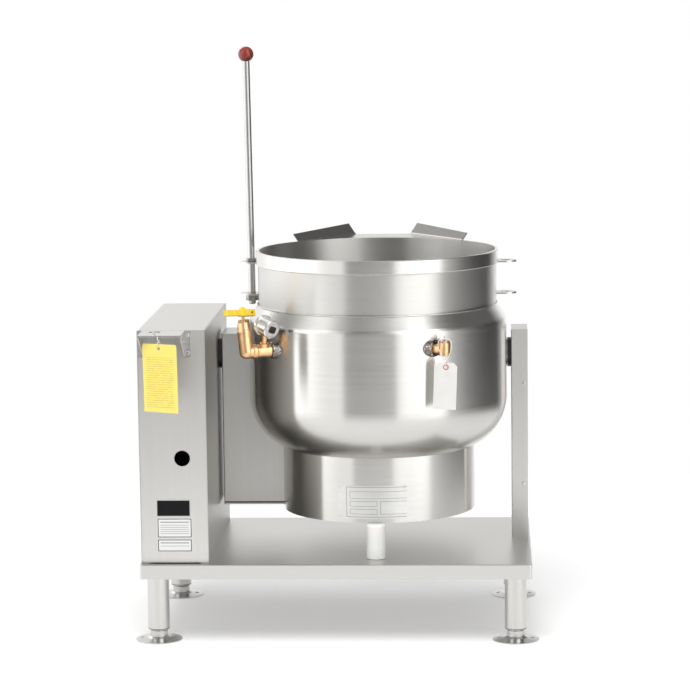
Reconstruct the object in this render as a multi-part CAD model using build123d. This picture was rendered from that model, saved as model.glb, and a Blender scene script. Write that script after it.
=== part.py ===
from build123d import *
import os
from math import atan2, cos, pi, radians, sin, sqrt, tan

# Tilting steam kettle on a table stand, in millimetres. +Z is up, -Y is the rear with the valves,
# +Y is the operator's side with the pouring lip, and the floor is z = 0. The origin is on the floor,
# halfway between the sides of the stand and below the kettle's own upright axis in depth.

os.makedirs("parts", exist_ok=True)

# Sheet and running clearances
SHEET = 2.0
THIN_SHEET = 1.5
RUNNING_GAP = 0.05
FACE_GAP = 0.3
SEAT_GAP = 0.1

# Stand
TRAY_DEPTH = 456.0
TRAY_HEIGHT = 28.0
TRAY_TOP_Z = 152.0
TRAY_RETURN = 16.0
LEG_INSET_X = 31.0
LEG_INSET_Y = 37.0
LEG_RADIUS = 20.6
LEG_WALL = 2.0
LEG_BOTTOM_Z = 23.0
LEG_PLATE_SIZE = 76.0
LEG_PLATE_THICKNESS = 4.0
CHANNEL_WIDTH = 44.0
CHANNEL_HEIGHT = 18.0
INSERT_HEIGHT = 26.0

# Adjustable foot
FOOT_FLANGE_RADIUS = 44.0
FOOT_FLANGE_THICKNESS = 4.0
FOOT_STEM_RADIUS = 16.5
FOOT_STUD_RADIUS = 9.5
FOOT_STUD_LENGTH = 62.0
FOOT_HOLE_RADIUS = 4.0
FOOT_HOLE_PCD = 64.0

# Where the kettle stands: behind the tray's middle, between the console and the post
KETTLE_TO_REAR = 248.0
KETTLE_TO_POST = 9.0
KETTLE_TO_BUSH = 56.4

# Tilt axis
TRUNNION_Y = 52.0
TRUNNION_RISE = 361.5
TRUNNION_RADIUS = 16.0
TRUNNION_BORE = 12.0
TRUNNION_HUB_RADIUS = 32.0
TRUNNION_HUB_REACH = 12.0
TRUNNION_TAIL = 46.0
BUSH_FLANGE_RADIUS = 28.7
BUSH_FLANGE = 7.3
BUSH_BARREL_RADIUS = 20.0
BEARING_PLATE = 8.0
BEARING_PLATE_SIZE = 92.0
BEARING_BLOCK = 20.0
COLLAR_WIDTH = 12.0
COLLAR_WALL = 9.0

# Kettle, with heights measured from the tilt axis and from the rim
BOWL_RADIUS = 228.6
BOWL_WALL = 2.4
RIM_RISE = 209.5
BOWL_STRAIGHT = 218.0
BOWL_KNUCKLE = 130.0
BOWL_CROWN = 330.0
BAND_THICKNESS = 4.0
BAND_HEIGHT = 26.0
STEAM_SPACE = 16.0
JACKET_WALL = 3.0
SHOULDER_DROP = 104.0
SHOULDER_HEIGHT = 29.0
SHOULDER_BEND = 16.0
JACKET_STRAIGHT = 153.0
JACKET_SEAM = 16.0
JACKET_KNUCKLE = 100.0
JACKET_CROWN = 436.0
SKIRT_RADIUS = 187.0
SKIRT_COVER_RISE = 12.0
WIRE_WAY = 36.0
WIRE_WAY_HEIGHT = 50.0
WIRE_WAY_RISE = 30.0

# Console
CONSOLE_INSET_X = 3.0
CONSOLE_INSET_Y = 13.0
CONSOLE_WIDTH = 128.0
CONSOLE_DEPTH = 427.0
CONSOLE_OVER_AXIS = 82.5
CONSOLE_BEND = 3.0
PANEL_FLANGE = 14.0
PANEL_SETBACK = 0.8
KNOCKOUT_RADIUS = 15.0
KNOCKOUT_X = 81.0
KNOCKOUT_RISE = 201.0

# Parts inside the console
SUBPANEL_GAP = 12.0
SUBPANEL_HEIGHT = 260.0
SUBPANEL_RISE = 40.0
SUBPANEL_INSET = 60.0
STANDOFF_RADIUS = 5.0
STANDOFF_INSET = 14.0
CONTACTOR_FROM_REAR = 287.0
CONTACTOR_RISE = 200.0
TERMINALS_FROM_REAR = 117.0
TERMINALS_RISE = 110.0

# Operator's panel
DIAL_DROP = 130.0
DIAL_RADIUS = 29.0
DIAL_SHAFT_RADIUS = 3.0
LAMP_DROP = 58.0
LAMP_SPACING = 44.0
LAMP_RADIUS = 8.0
ROCKER_DROP = 205.0
ROCKER_WIDTH = 21.0
ROCKER_HEIGHT = 29.0
ROCKER_WALL = 2.0
ROCKER_PIN_RADIUS = 1.5
ROCKER_PIN_END = 1.4

# Shelf bracket at the top of the console's rear panel
SHELF_LEFT = 11.0
SHELF_WIDTH = 80.0
SHELF_REACH = 78.0
SHELF_LIP = 4.0
SHELF_CHEEK = 51.0
SHELF_FLANGE = 12.0
SHELF_HOLE_RADIUS = 11.0
SHELF_HOLE_X = 26.0
SHELF_HOLE_REACH = 25.0

# Post
POST_WIDTH = 32.0
POST_DEPTH = 86.0
POST_INSET_X = 4.0
POST_OVER_AXIS = 49.5
POST_CAP = 3.0
COVER_FLANGE = 12.0
POST_SCREW_HEIGHTS = (106.0, 305.0)

# Bumper
BUMPER_RADIUS = 18.5
BUMPER_HEIGHT = 66.7
BUMPER_ROUND = 5.0
BUMPER_SCREW_RADIUS = 4.0

# Trunnion box on the kettle's left
BOX_DEPTH = 96.0
BOX_OVER_AXIS = 44.5
BOX_CAP = 6.0

# Pouring lip on the operator's side
LIP_ROOT_HALF = 163.0
LIP_TIP_HALF = 56.0
LIP_REACH = 79.0
LIP_ROOT_WALL = 15.0
LIP_TIP_WALL = 22.0
LIP_LEAN = 33.0
LIP_BEND = 7.0
LIP_SHEET = 2.0

# Handle and its brackets
BRACKET_REACH = 17.5
BRACKET_HALF_WIDTH = 22.0
BRACKET_SHEET = 3.0
BRACKET_DROP = 2.0
BRACKET_SPACING = 62.0
BRACKET_HOLE_RADIUS = 8.0
ROD_RADIUS = 7.0
ROD_LEAN = 0.6
ROD_TAIL = 19.0
HANDLE_LENGTH = 469.7
BALL_RADIUS = 15.2
NUT_HEIGHT = 11.0
NUT_FLATS = 22.0

# Ports in the jacket: the left one for vent valve and gauge, the right one for the safety valve
PORT_DROP = 42.0
LEFT_PORT_X = 188.4
LEFT_PORT_REACH = 8.5
LEFT_PORT_TURN = 66.0
RIGHT_PORT_X = 112.0
RIGHT_PORT_REACH = 4.0
RIGHT_PORT_TURN = 64.0
RIGHT_PORT_RISE = 10.3
COUPLING_RADIUS = 16.2
COUPLING_BURIED = 30.0
PIPE_RADIUS = 8.8
TEE_RADIUS = 12.3
TEE_LENGTH = 28.0
TEE_BRANCH = 16.0
ELBOW_OFFSET = 20.4
ELBOW_RADIUS = 13.4
VALVE_ROLL = 14.0
STEM_RADIUS = 3.0
VALVE_LENGTH = 41.0
GLAND_HEIGHT = 7.0
GAUGE_ROLL = -14.0
GAUGE_RISE = 49.5
GAUGE_SET_BACK = 5.5
GAUGE_TURN = 41.0
GAUGE_RADIUS = 18.0
GAUGE_BEZEL_RADIUS = 19.8
GAUGE_DEPTH = 32.0
GAUGE_WALL = 1.5
GAUGE_DIAL_DEPTH = 9.0
GAUGE_PIN_RADIUS = 1.0
GAUGE_PLUG = 13.0
LEVER_LONG = 42.0
LEVER_SHORT = 25.0
LEVER_WIDTH = 13.0
LEVER_HEIGHT = 12.5
LEVER_ARM_HEIGHT = 10.5
LEVER_TURN = -75.0
LEVER_RISE = 7.0

# Safety valve
SAFETY_RADIUS = 11.2
SAFETY_HEIGHT = 25.0
SAFETY_REACH = 19.5
SAFETY_CROWN = 3.0
SAFETY_CROWN_WALL = 2.6
SAFETY_STUDS = 6
PULL_STEM_RADIUS = 2.0
PULL_RING_RISE = 6.8
PULL_RING_RADIUS = 3.6
PULL_WIRE_RADIUS = 1.0

# Bare plates
RATING_WIDTH = 64.0
RATING_HEIGHT = 32.0
SKIRT_PLATE_WIDTH = 132.0
SKIRT_PLATE_HEIGHT = 63.5
SKIRT_PLATE_RISE = 8.5

# Tags
TAG_SHEET = 0.8
YELLOW_TAG_WIDTH = 77.0
YELLOW_TAG_HEIGHT = 127.0
YELLOW_TAG_ROUND = 5.0
YELLOW_EYE_X = 37.0
YELLOW_EYE_DROP = 8.0
YELLOW_TURN = -29.0
YELLOW_TILT = -1.0
YELLOW_LOOP = 4.9
WHITE_TAG_WIDTH = 43.0
WHITE_TAG_HEIGHT = 88.0
WHITE_TAG_CLIP = 6.5
WHITE_EYE_X = 22.0
WHITE_EYE_DROP = 8.6
WHITE_TURN = -8.0
WHITE_TILT = 2.2
WHITE_LOOP = 5.2
TAG_HOLE_RADIUS = 3.0
STRING_RADIUS = 0.8

# Heaters in the jacket's dish
HEATER_SPACING = 56.0
HEATER_SPAN = 34.0
HEATER_HEX = 40.0
HEATER_BOSS_RADIUS = 16.0
HEATER_ROD_RADIUS = 4.0

# Sizes and places worked out from the values above
bowl_outer = BOWL_RADIUS + BOWL_WALL
jacket_radius = bowl_outer + STEAM_SPACE + JACKET_WALL
jacket_reach = sqrt(jacket_radius**2 - TRUNNION_Y**2)
bush_stand = BUSH_FLANGE + FACE_GAP
left_side = CONSOLE_INSET_X + CONSOLE_WIDTH + bush_stand + KETTLE_TO_BUSH
right_side = KETTLE_TO_POST + POST_WIDTH + POST_INSET_X
tray_width = left_side + 2 * jacket_radius + right_side
kettle_x = tray_width / 2 - right_side - jacket_radius
tray_rear_y = -KETTLE_TO_REAR
tray_front_y = tray_rear_y + TRAY_DEPTH
tray_bottom_z = TRAY_TOP_Z - TRAY_HEIGHT
leg_x = tray_width / 2 - LEG_INSET_X
leg_ys = (tray_rear_y + LEG_INSET_Y, tray_front_y - LEG_INSET_Y)
leg_top_z = TRAY_TOP_Z - SHEET - LEG_PLATE_THICKNESS
console_left = -tray_width / 2 + CONSOLE_INSET_X
console_right = console_left + CONSOLE_WIDTH
console_rear = tray_rear_y + CONSOLE_INSET_Y
console_front = console_rear + CONSOLE_DEPTH
trunnion_z = TRAY_TOP_Z + TRUNNION_RISE
console_top = trunnion_z + CONSOLE_OVER_AXIS
post_right = tray_width / 2 - POST_INSET_X
post_left = post_right - POST_WIDTH
post_top = trunnion_z + POST_OVER_AXIS
box_left = console_right + bush_stand
box_top_z = trunnion_z + BOX_OVER_AXIS
rim_top_z = trunnion_z + RIM_RISE
bowl_straight_z = rim_top_z - BOWL_STRAIGHT
shoulder_top_z = rim_top_z - SHOULDER_DROP
shoulder_bottom_z = shoulder_top_z - SHOULDER_HEIGHT
jacket_straight_z = shoulder_bottom_z - JACKET_STRAIGHT
jacket_seam_z = jacket_straight_z + JACKET_SEAM
skirt_bottom_z = TRAY_TOP_Z + BUMPER_HEIGHT + FACE_GAP
port_z = shoulder_bottom_z - PORT_DROP
bracket_x = bowl_outer + BRACKET_REACH
bracket_upper_z = rim_top_z - BAND_HEIGHT - BRACKET_DROP
knockout_x = console_left + KNOCKOUT_X
knockout_z = TRAY_TOP_Z + KNOCKOUT_RISE
control_x = console_left + CONSOLE_WIDTH / 2
dial_z = console_top - DIAL_DROP
lamp_z = console_top - LAMP_DROP
rocker_z = console_top - ROCKER_DROP


def save(name, *solids):
    """Writes one node, made of one solid or of several that belong together."""
    shape = solids[0] if len(solids) == 1 else Compound(children=list(solids))
    export_step(shape, f"parts/{name}.step")


def box(x0, x1, y0, y1, z0, z1):
    """A block between two corners."""
    return Pos((x0 + x1) / 2, (y0 + y1) / 2, (z0 + z1) / 2) * Box(x1 - x0, y1 - y0, z1 - z0)


def post_z(radius, z0, z1, x=0.0, y=0.0):
    """A round bar along Z."""
    return Pos(x, y, (z0 + z1) / 2) * Cylinder(radius, z1 - z0)


def bar_x(radius, x0, x1, y, z):
    """A round bar along X."""
    return Pos((x0 + x1) / 2, y, z) * Rot(0, 90, 0) * Cylinder(radius, x1 - x0)


def bar_y(radius, y0, y1, x, z):
    """A round bar along Y."""
    return Pos(x, (y0 + y1) / 2, z) * Rot(90, 0, 0) * Cylinder(radius, y1 - y0)


def ring_z(outer, inner, z0, z1, x=0.0, y=0.0):
    """A tube along Z."""
    return post_z(outer, z0, z1, x, y) - post_z(inner, z0 - 1, z1 + 1, x, y)


def hexagon(flats, height):
    """A hexagonal block standing on z = 0."""
    return extrude(RegularPolygon(flats / 2, 6, major_radius=False), height)


def screw_head(radius, height):
    """A low domed screw head standing on z = 0."""
    head = Cylinder(radius, height, align=(Align.CENTER, Align.CENTER, Align.MIN))
    return fillet(head.edges().group_by(Axis.Z)[-1], height * 0.6)


def turned(points):
    """A solid turned about Z from straight outline points in X and Z."""
    face = make_face(Polyline(*points, close=True))
    return revolve(Plane.XZ * face, Axis.Z)


def dish_face(wall, straight_z, top_z, knuckle, crown):
    """Half section of a dished pot: crown arc, knuckle arc and straight wall, closed on the axis."""
    knuckle_x = wall - knuckle
    crown_z = straight_z + sqrt((crown - knuckle) ** 2 - knuckle_x**2)
    slope = atan2(straight_z - crown_z, knuckle_x)
    bottom = (0, crown_z - crown)
    joint = (crown * cos(slope), crown_z + crown * sin(slope))
    half_crown = (slope - pi / 2) / 2
    crown_mid = (crown * cos(half_crown), crown_z + crown * sin(half_crown))
    half_knuckle = slope / 2
    knuckle_mid = (knuckle_x + knuckle * cos(half_knuckle), straight_z + knuckle * sin(half_knuckle))
    outline = [
        ThreePointArc(bottom, crown_mid, joint),
        ThreePointArc(joint, knuckle_mid, (wall, straight_z)),
        Polyline((wall, straight_z), (wall, top_z), (0, top_z), bottom),
    ]
    return Plane.XZ * make_face(outline)


def dish_height(radius, crown_shift):
    """Height of the jacket's dish at a radius, on a surface that lies crown_shift inside it."""
    knuckle_x = jacket_radius - JACKET_KNUCKLE
    crown_z = jacket_straight_z + sqrt((JACKET_CROWN - JACKET_KNUCKLE) ** 2 - knuckle_x**2)
    return crown_z - sqrt((JACKET_CROWN - crown_shift) ** 2 - radius**2)


def on_kettle(shape):
    """Moves a shape made about the Z axis onto the kettle's own axis."""
    return Pos(kettle_x, 0, 0) * shape


# Stand


def base_tray():
    """Folded pan, open below, with a return along its lower edge."""
    x = tray_width / 2
    pan = box(-x, x, tray_rear_y, tray_front_y, tray_bottom_z, TRAY_TOP_Z)
    pan = fillet(pan.edges().filter_by(Axis.Z), CONSOLE_BEND + SHEET)
    pan = fillet(pan.faces().sort_by(Axis.Z)[-1].edges(), SHEET)
    inner_top = TRAY_TOP_Z - SHEET
    rear, front = tray_rear_y + SHEET, tray_front_y - SHEET
    hollow = box(-x + SHEET, x - SHEET, rear, front, tray_bottom_z + SHEET, inner_top)
    mouth_x = x - TRAY_RETURN
    mouth_rear, mouth_front = tray_rear_y + TRAY_RETURN, tray_front_y - TRAY_RETURN
    mouth = box(-mouth_x, mouth_x, mouth_rear, mouth_front, tray_bottom_z - 1, inner_top)
    pan = pan - hollow - mouth
    pan -= post_z(BUMPER_SCREW_RADIUS + SEAT_GAP, inner_top - 1, TRAY_TOP_Z + 1, kettle_x, -SKIRT_RADIUS)
    for side in (-1, 1):
        for y in leg_ys:
            low, high = tray_bottom_z - 1, tray_bottom_z + SHEET + 1
            pan -= post_z(LEG_RADIUS + FACE_GAP, low, high, side * leg_x, y)
    return pan


def leg_frame():
    """Two channels under the tray, front to back, with a plate over each leg."""
    pieces = []
    for side in (-1, 1):
        x = side * leg_x
        top = TRAY_TOP_Z - SHEET
        y0, y1 = leg_ys[0] + LEG_PLATE_SIZE / 2, leg_ys[1] - LEG_PLATE_SIZE / 2
        channel = box(x - CHANNEL_WIDTH / 2, x + CHANNEL_WIDTH / 2, y0, y1, top - CHANNEL_HEIGHT, top)
        half = CHANNEL_WIDTH / 2 - SHEET
        channel -= box(x - half, x + half, y0 - 1, y1 + 1, top - CHANNEL_HEIGHT + SHEET, top + 1)
        pieces.append(channel)
        for y in leg_ys:
            x_half = min(LEG_PLATE_SIZE / 2, LEG_INSET_X - SHEET - SEAT_GAP)
            y_half = min(LEG_PLATE_SIZE / 2, LEG_INSET_Y - SHEET - SEAT_GAP)
            low = top - LEG_PLATE_THICKNESS
            pieces.append(box(x - x_half, x + x_half, y - y_half, y + y_half, low, top))
    return pieces


def leg_tubes():
    """Four round legs, each with its open lower end rolled in a little."""
    legs = []
    for side in (-1, 1):
        for y in leg_ys:
            tube = post_z(LEG_RADIUS, LEG_BOTTOM_Z, leg_top_z)
            tube = chamfer(tube.edges().group_by(Axis.Z)[0], LEG_WALL / 2)
            tube -= post_z(LEG_RADIUS - LEG_WALL, LEG_BOTTOM_Z - 1, leg_top_z + 1)
            legs.append(Pos(side * leg_x, y, 0) * tube)
    return legs


def leg_inserts():
    """Threaded plugs in the legs' lower ends."""
    plugs = []
    for side in (-1, 1):
        for y in leg_ys:
            plug = ring_z(
                LEG_RADIUS - LEG_WALL,
                FOOT_STUD_RADIUS + RUNNING_GAP,
                LEG_BOTTOM_Z + 1,
                LEG_BOTTOM_Z + 1 + INSERT_HEIGHT,
            )
            plugs.append(Pos(side * leg_x, y, 0) * plug)
    return plugs


def foot(side, y):
    """Flanged levelling foot with its stud up inside the leg."""
    collar_top = LEG_BOTTOM_Z - FACE_GAP
    body = turned(
        [
            (0, 0),
            (FOOT_FLANGE_RADIUS, 0),
            (FOOT_FLANGE_RADIUS, FOOT_FLANGE_THICKNESS / 2),
            (FOOT_STEM_RADIUS + 6, FOOT_FLANGE_THICKNESS + 1),
            (FOOT_STEM_RADIUS, FOOT_FLANGE_THICKNESS + 4),
            (FOOT_STEM_RADIUS, collar_top - 4),
            (LEG_RADIUS, collar_top - 1),
            (LEG_RADIUS, collar_top),
            (FOOT_STUD_RADIUS, collar_top),
            (FOOT_STUD_RADIUS, collar_top + FOOT_STUD_LENGTH),
            (0, collar_top + FOOT_STUD_LENGTH),
        ]
    )
    for turn in (0, 180):
        hole = post_z(FOOT_HOLE_RADIUS, -1, FOOT_FLANGE_THICKNESS + 3, FOOT_HOLE_PCD / 2, 0)
        body -= Rot(0, 0, turn) * hole
    return Pos(side * leg_x, y, 0) * body


def bumper():
    """Round plastic stop under the skirt's rearmost point."""
    top = skirt_bottom_z - FACE_GAP
    stop = post_z(BUMPER_RADIUS, TRAY_TOP_Z, top)
    stop = fillet(stop.edges().group_by(Axis.Z)[-1], BUMPER_ROUND)
    stop = fillet(stop.edges().group_by(Axis.Z)[0], BUMPER_ROUND / 3)
    stop -= post_z(BUMPER_SCREW_RADIUS + SEAT_GAP, TRAY_TOP_Z - 1, TRAY_TOP_Z + 26)
    return Pos(kettle_x, -SKIRT_RADIUS, 0) * stop


def bumper_screw():
    """Screw up through the tray into the stop."""
    head_z = TRAY_TOP_Z - SHEET
    screw = post_z(BUMPER_SCREW_RADIUS, head_z - 1, TRAY_TOP_Z + 24)
    screw += post_z(2 * BUMPER_SCREW_RADIUS, head_z - BUMPER_SCREW_RADIUS, head_z)
    return Pos(kettle_x, -SKIRT_RADIUS, 0) * screw


# Console


def console_wrap():
    """Sides and top of the console, folded from one sheet, with feet turned in along the tray."""
    shell = box(console_left, console_right, console_rear, console_front, TRAY_TOP_Z, console_top)
    upper = shell.edges().filter_by(Axis.Y).group_by(Axis.Z)[-1]
    shell = fillet(upper, CONSOLE_BEND)
    inner_x0, inner_x1 = console_left + THIN_SHEET, console_right - THIN_SHEET
    inner_z0, inner_z1 = TRAY_TOP_Z + THIN_SHEET, console_top - THIN_SHEET
    hollow = box(inner_x0, inner_x1, console_rear - 1, console_front + 1, inner_z0, inner_z1)
    foot_width = PANEL_FLANGE + THIN_SHEET
    mouth_x0, mouth_x1 = console_left + foot_width, console_right - foot_width
    mouth = box(mouth_x0, mouth_x1, console_rear - 1, console_front + 1, TRAY_TOP_Z - 1, inner_z0 + 1)
    hole_radius = BUSH_BARREL_RADIUS + SEAT_GAP
    bush_hole = bar_x(hole_radius, console_right - 5, console_right + 5, TRUNNION_Y, trunnion_z)
    return shell - hollow - mouth - bush_hole


def console_panel():
    """End panel with flanges all round, its outer face at y = 0 and its flanges towards +Y."""
    x0 = console_left + THIN_SHEET + SEAT_GAP
    x1 = console_right - THIN_SHEET - SEAT_GAP
    z0 = TRAY_TOP_Z + THIN_SHEET + SEAT_GAP
    z1 = console_top - THIN_SHEET - SEAT_GAP
    panel = box(x0, x1, 0, PANEL_FLANGE, z0, z1)
    inner_z0, inner_z1 = z0 + THIN_SHEET, z1 - THIN_SHEET
    return panel - box(x0 + THIN_SHEET, x1 - THIN_SHEET, THIN_SHEET, PANEL_FLANGE + 1, inner_z0, inner_z1)


def rear_panel():
    """Rear end panel with the round conduit hole."""
    panel = Pos(0, console_rear + PANEL_SETBACK, 0) * console_panel()
    return panel - bar_y(KNOCKOUT_RADIUS, console_rear - 5, console_rear + 6, knockout_x, knockout_z)


def control_panel():
    """Operator's panel with holes for the dial's shaft, two lamps and the rocker switch."""
    face_y = console_front - PANEL_SETBACK
    panel = mirror(console_panel(), about=Plane.XZ)
    panel = Pos(0, face_y, 0) * panel
    panel -= bar_y(DIAL_SHAFT_RADIUS + 2, face_y - 6, face_y + 6, control_x, dial_z)
    for side in (-1, 1):
        x = control_x + side * LAMP_SPACING / 2
        panel -= bar_y(LAMP_RADIUS - 2 + SEAT_GAP, face_y - 6, face_y + 6, x, lamp_z)
    half_w, half_h = ROCKER_WIDTH / 2 + SEAT_GAP, ROCKER_HEIGHT / 2 + SEAT_GAP
    x0, x1 = control_x - half_w, control_x + half_w
    return panel - box(x0, x1, face_y - 6, face_y + 6, rocker_z - half_h, rocker_z + half_h)


def shelf_bracket():
    """Shelf with a round hole, triangular cheeks and turned-out ears, on the rear panel."""
    x0 = console_left + SHELF_LEFT
    x1 = x0 + SHELF_WIDTH
    back = console_rear + PANEL_SETBACK
    front = console_rear - SHELF_REACH
    top = console_top - SEAT_GAP
    plate = box(x0, x1, front, back, top - SHEET, top)
    hole_y = console_rear - SHELF_HOLE_REACH
    plate -= post_z(SHELF_HOLE_RADIUS, top - SHEET - 1, top + 1, x0 + SHELF_HOLE_X, hole_y)
    lip = box(x0, x1, front, front + SHEET, top - SHELF_LIP, top)
    plate = fillet((plate + lip).edges().filter_by(Axis.X).sort_by_distance((0, front, top))[0], SHEET)
    low = top - SHELF_CHEEK
    edge = front + SHEET
    cheek = make_face(Polyline((edge, top - SHELF_LIP), (edge, top), (back, top), (back, low), close=True))
    bracket = plate
    for x in (x0, x1 - SHEET):
        bracket += Pos(x, 0, 0) * extrude(Plane.YZ * cheek, SHEET)
    for x in (x0 - SHELF_FLANGE + SHEET, x1 - SHEET):
        ear_left = max(x, console_left + THIN_SHEET + SEAT_GAP)
        ear = box(ear_left, x + SHELF_FLANGE, back - SHEET, back, low, top - SHEET)
        bracket += ear
    wrap_z = console_top - THIN_SHEET - SEAT_GAP
    wrap_rear = console_rear - SEAT_GAP
    return bracket - box(console_left - 1, console_right + 1, wrap_rear, back + 1, wrap_z, console_top + 1)


def shelf_screws():
    """Pan heads on the bracket's right ear."""
    x = console_left + SHELF_LEFT + SHELF_WIDTH + SHELF_FLANGE / 2 - SHEET / 2
    y = console_rear + PANEL_SETBACK - SHEET
    heads = []
    for drop in (9.0, 42.0):
        head = Rot(90, 0, 0) * screw_head(3.6, 2.4)
        heads.append(Pos(x, y, console_top - drop) * head)
    return heads


def subpanel():
    """Plate inside the console that carries the electrical parts."""
    x = console_left + THIN_SHEET + SUBPANEL_GAP
    y0, y1 = console_rear + SUBPANEL_INSET, console_front - SUBPANEL_INSET
    z0 = TRAY_TOP_Z + SUBPANEL_RISE
    z1 = z0 + SUBPANEL_HEIGHT
    plate = box(x, x + THIN_SHEET, y0, y1, z0, z1)
    for y in (y0 + STANDOFF_INSET, y1 - STANDOFF_INSET):
        for z in (z0 + STANDOFF_INSET, z1 - STANDOFF_INSET):
            plate += bar_x(STANDOFF_RADIUS, console_left + THIN_SHEET, x, y, z)
    return plate


def contactor():
    """Three-pole contactor: base, coil housing and a row of terminal screws."""
    x = console_left + 2 * THIN_SHEET + SUBPANEL_GAP
    y, z = console_rear + CONTACTOR_FROM_REAR, TRAY_TOP_Z + CONTACTOR_RISE
    body = box(x, x + 34, y - 30, y + 30, z - 42, z + 42)
    body += box(x + 34, x + 52, y - 24, y + 24, z - 26, z + 26)
    for step in (-1, 0, 1):
        for end in (-1, 1):
            body -= bar_x(4, x + 26, x + 35, y + 18 * step, z + 34 * end)
    return body


def terminal_block():
    """Supply terminals near the conduit hole, divided by raised barriers."""
    x = console_left + 2 * THIN_SHEET + SUBPANEL_GAP
    y, z = console_rear + TERMINALS_FROM_REAR, TRAY_TOP_Z + TERMINALS_RISE
    block = box(x, x + 22, y - 38, y + 38, z - 20, z + 20)
    for step in range(4):
        block += box(x + 22, x + 32, y - 38 + 24 * step, y - 34 + 24 * step, z - 20, z + 20)
    return block


def thermostat_body():
    """Thermostat behind the dial, with the hole that its shaft turns in."""
    face_y = console_front - PANEL_SETBACK - THIN_SHEET
    body = box(control_x - 26, control_x + 26, face_y - 40, face_y - SEAT_GAP, dial_z - 22, dial_z + 22)
    return body - bar_y(DIAL_SHAFT_RADIUS + RUNNING_GAP, face_y - 20, face_y + 1, control_x, dial_z)


def thermostat_dial():
    """Round dial knob with a raised grip bar and its shaft."""
    face_y = console_front - PANEL_SETBACK
    disc = turned([(0, 0), (DIAL_RADIUS, 0), (DIAL_RADIUS, 3), (DIAL_RADIUS - 4, 7), (0, 7)])
    grip = Box(11, 2 * DIAL_RADIUS - 10, 16, align=(Align.CENTER, Align.CENTER, Align.MIN))
    knob = disc + Pos(0, 0, 6) * fillet(grip.edges().group_by(Axis.Z)[-1], 3)
    knob += Cylinder(DIAL_SHAFT_RADIUS, 17, align=(Align.CENTER, Align.CENTER, Align.MAX))
    return Pos(control_x, face_y + FACE_GAP, dial_z) * Rot(-90, 0, 0) * knob


def pilot_lamps():
    """Two round lamps pressed into the operator's panel."""
    face_y = console_front - PANEL_SETBACK
    lamps = []
    for side in (-1, 1):
        barrel = LAMP_RADIUS - 2
        lens = [(LAMP_RADIUS, 0), (LAMP_RADIUS, 2), (LAMP_RADIUS - 3, 5), (0, 6)]
        lamp = turned([(0, -18), (barrel, -18), (barrel, 0), *lens])
        lamps.append(Pos(control_x + side * LAMP_SPACING / 2, face_y, lamp_z) * Rot(-90, 0, 0) * lamp)
    return lamps


def switch_body():
    """Housing of the rocker switch, with its bezel outside the panel and sockets for the pin."""
    face_y = console_front - PANEL_SETBACK
    w, h = ROCKER_WIDTH / 2, ROCKER_HEIGHT / 2
    body = box(control_x - w, control_x + w, face_y - 24, face_y, rocker_z - h, rocker_z + h)
    x_rim, z_rim = w + ROCKER_WALL, h + ROCKER_WALL
    rim_y = face_y + ROCKER_WALL
    body += box(control_x - x_rim, control_x + x_rim, face_y, rim_y, rocker_z - z_rim, rocker_z + z_rim)
    w_in, h_in = w - ROCKER_WALL, h - ROCKER_WALL
    body -= box(control_x - w_in, control_x + w_in, face_y - 14, face_y + 3, rocker_z - h_in, rocker_z + h_in)
    socket = w_in + ROCKER_PIN_END + SEAT_GAP
    bore = ROCKER_PIN_RADIUS + RUNNING_GAP
    return body - bar_x(bore, control_x - socket, control_x + socket, face_y, rocker_z)


def switch_rocker():
    """Rocker with two slanted faces, on a pin across the housing."""
    face_y = console_front - PANEL_SETBACK
    h = ROCKER_HEIGHT / 2 - ROCKER_WALL - 0.8
    back = [(-h, -1.5), (-h + 2, -5), (0, -8), (h - 2, -5), (h, -1.5)]
    outline = back + [(h, 4.5), (0, 2.5), (-h, 0.5)]
    face = make_face(Polyline(*outline, close=True))
    half_width = ROCKER_WIDTH / 2 - ROCKER_WALL
    rocker = extrude(face, half_width - FACE_GAP, both=True)
    turned_up = Plane(origin=(control_x, face_y, rocker_z), x_dir=(0, 0, 1), z_dir=(1, 0, 0))
    pin_end = half_width + ROCKER_PIN_END
    pin = bar_x(ROCKER_PIN_RADIUS, control_x - pin_end, control_x + pin_end, face_y, rocker_z)
    return turned_up * mirror(rocker, about=Plane.XZ) + pin


def rating_plate():
    """Bare riveted plate low on the rear panel."""
    y = console_rear + PANEL_SETBACK
    x0, z0 = console_left + 30.7, TRAY_TOP_Z + 90.0
    plate = box(x0, x0 + RATING_WIDTH, y - 0.8, y, z0, z0 + RATING_HEIGHT)
    for x in (x0 + 4.5, x0 + RATING_WIDTH - 4.5):
        plate += Pos(x, y - 0.8, z0 + RATING_HEIGHT / 2) * Rot(90, 0, 0) * screw_head(1.6, 0.9)
    return plate


def bare_labels():
    """Two blank labels under the rating plate."""
    y = console_rear + PANEL_SETBACK
    x0 = console_left + 31.5
    upper = box(x0, x0 + 65.5, y - 0.4, y, TRAY_TOP_Z + 49.3, TRAY_TOP_Z + 86.8)
    lower = box(x0, x0 + 65.5, y - 0.4, y, TRAY_TOP_Z + 22.4, TRAY_TOP_Z + 46.7)
    return [upper, lower]


def bush(face_x, direction, barrel):
    """Flanged plastic bush on the tilt axis, its flange on the kettle's side of a wall."""
    x0, x1 = sorted((face_x, face_x + direction * BUSH_FLANGE))
    flange = bar_x(BUSH_FLANGE_RADIUS, x0, x1, TRUNNION_Y, trunnion_z)
    b0, b1 = sorted((face_x, face_x - direction * barrel))
    body = flange + bar_x(BUSH_BARREL_RADIUS, b0, b1, TRUNNION_Y, trunnion_z)
    return body - bar_x(TRUNNION_RADIUS + RUNNING_GAP, b0 - 20, b1 + 20, TRUNNION_Y, trunnion_z)


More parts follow.
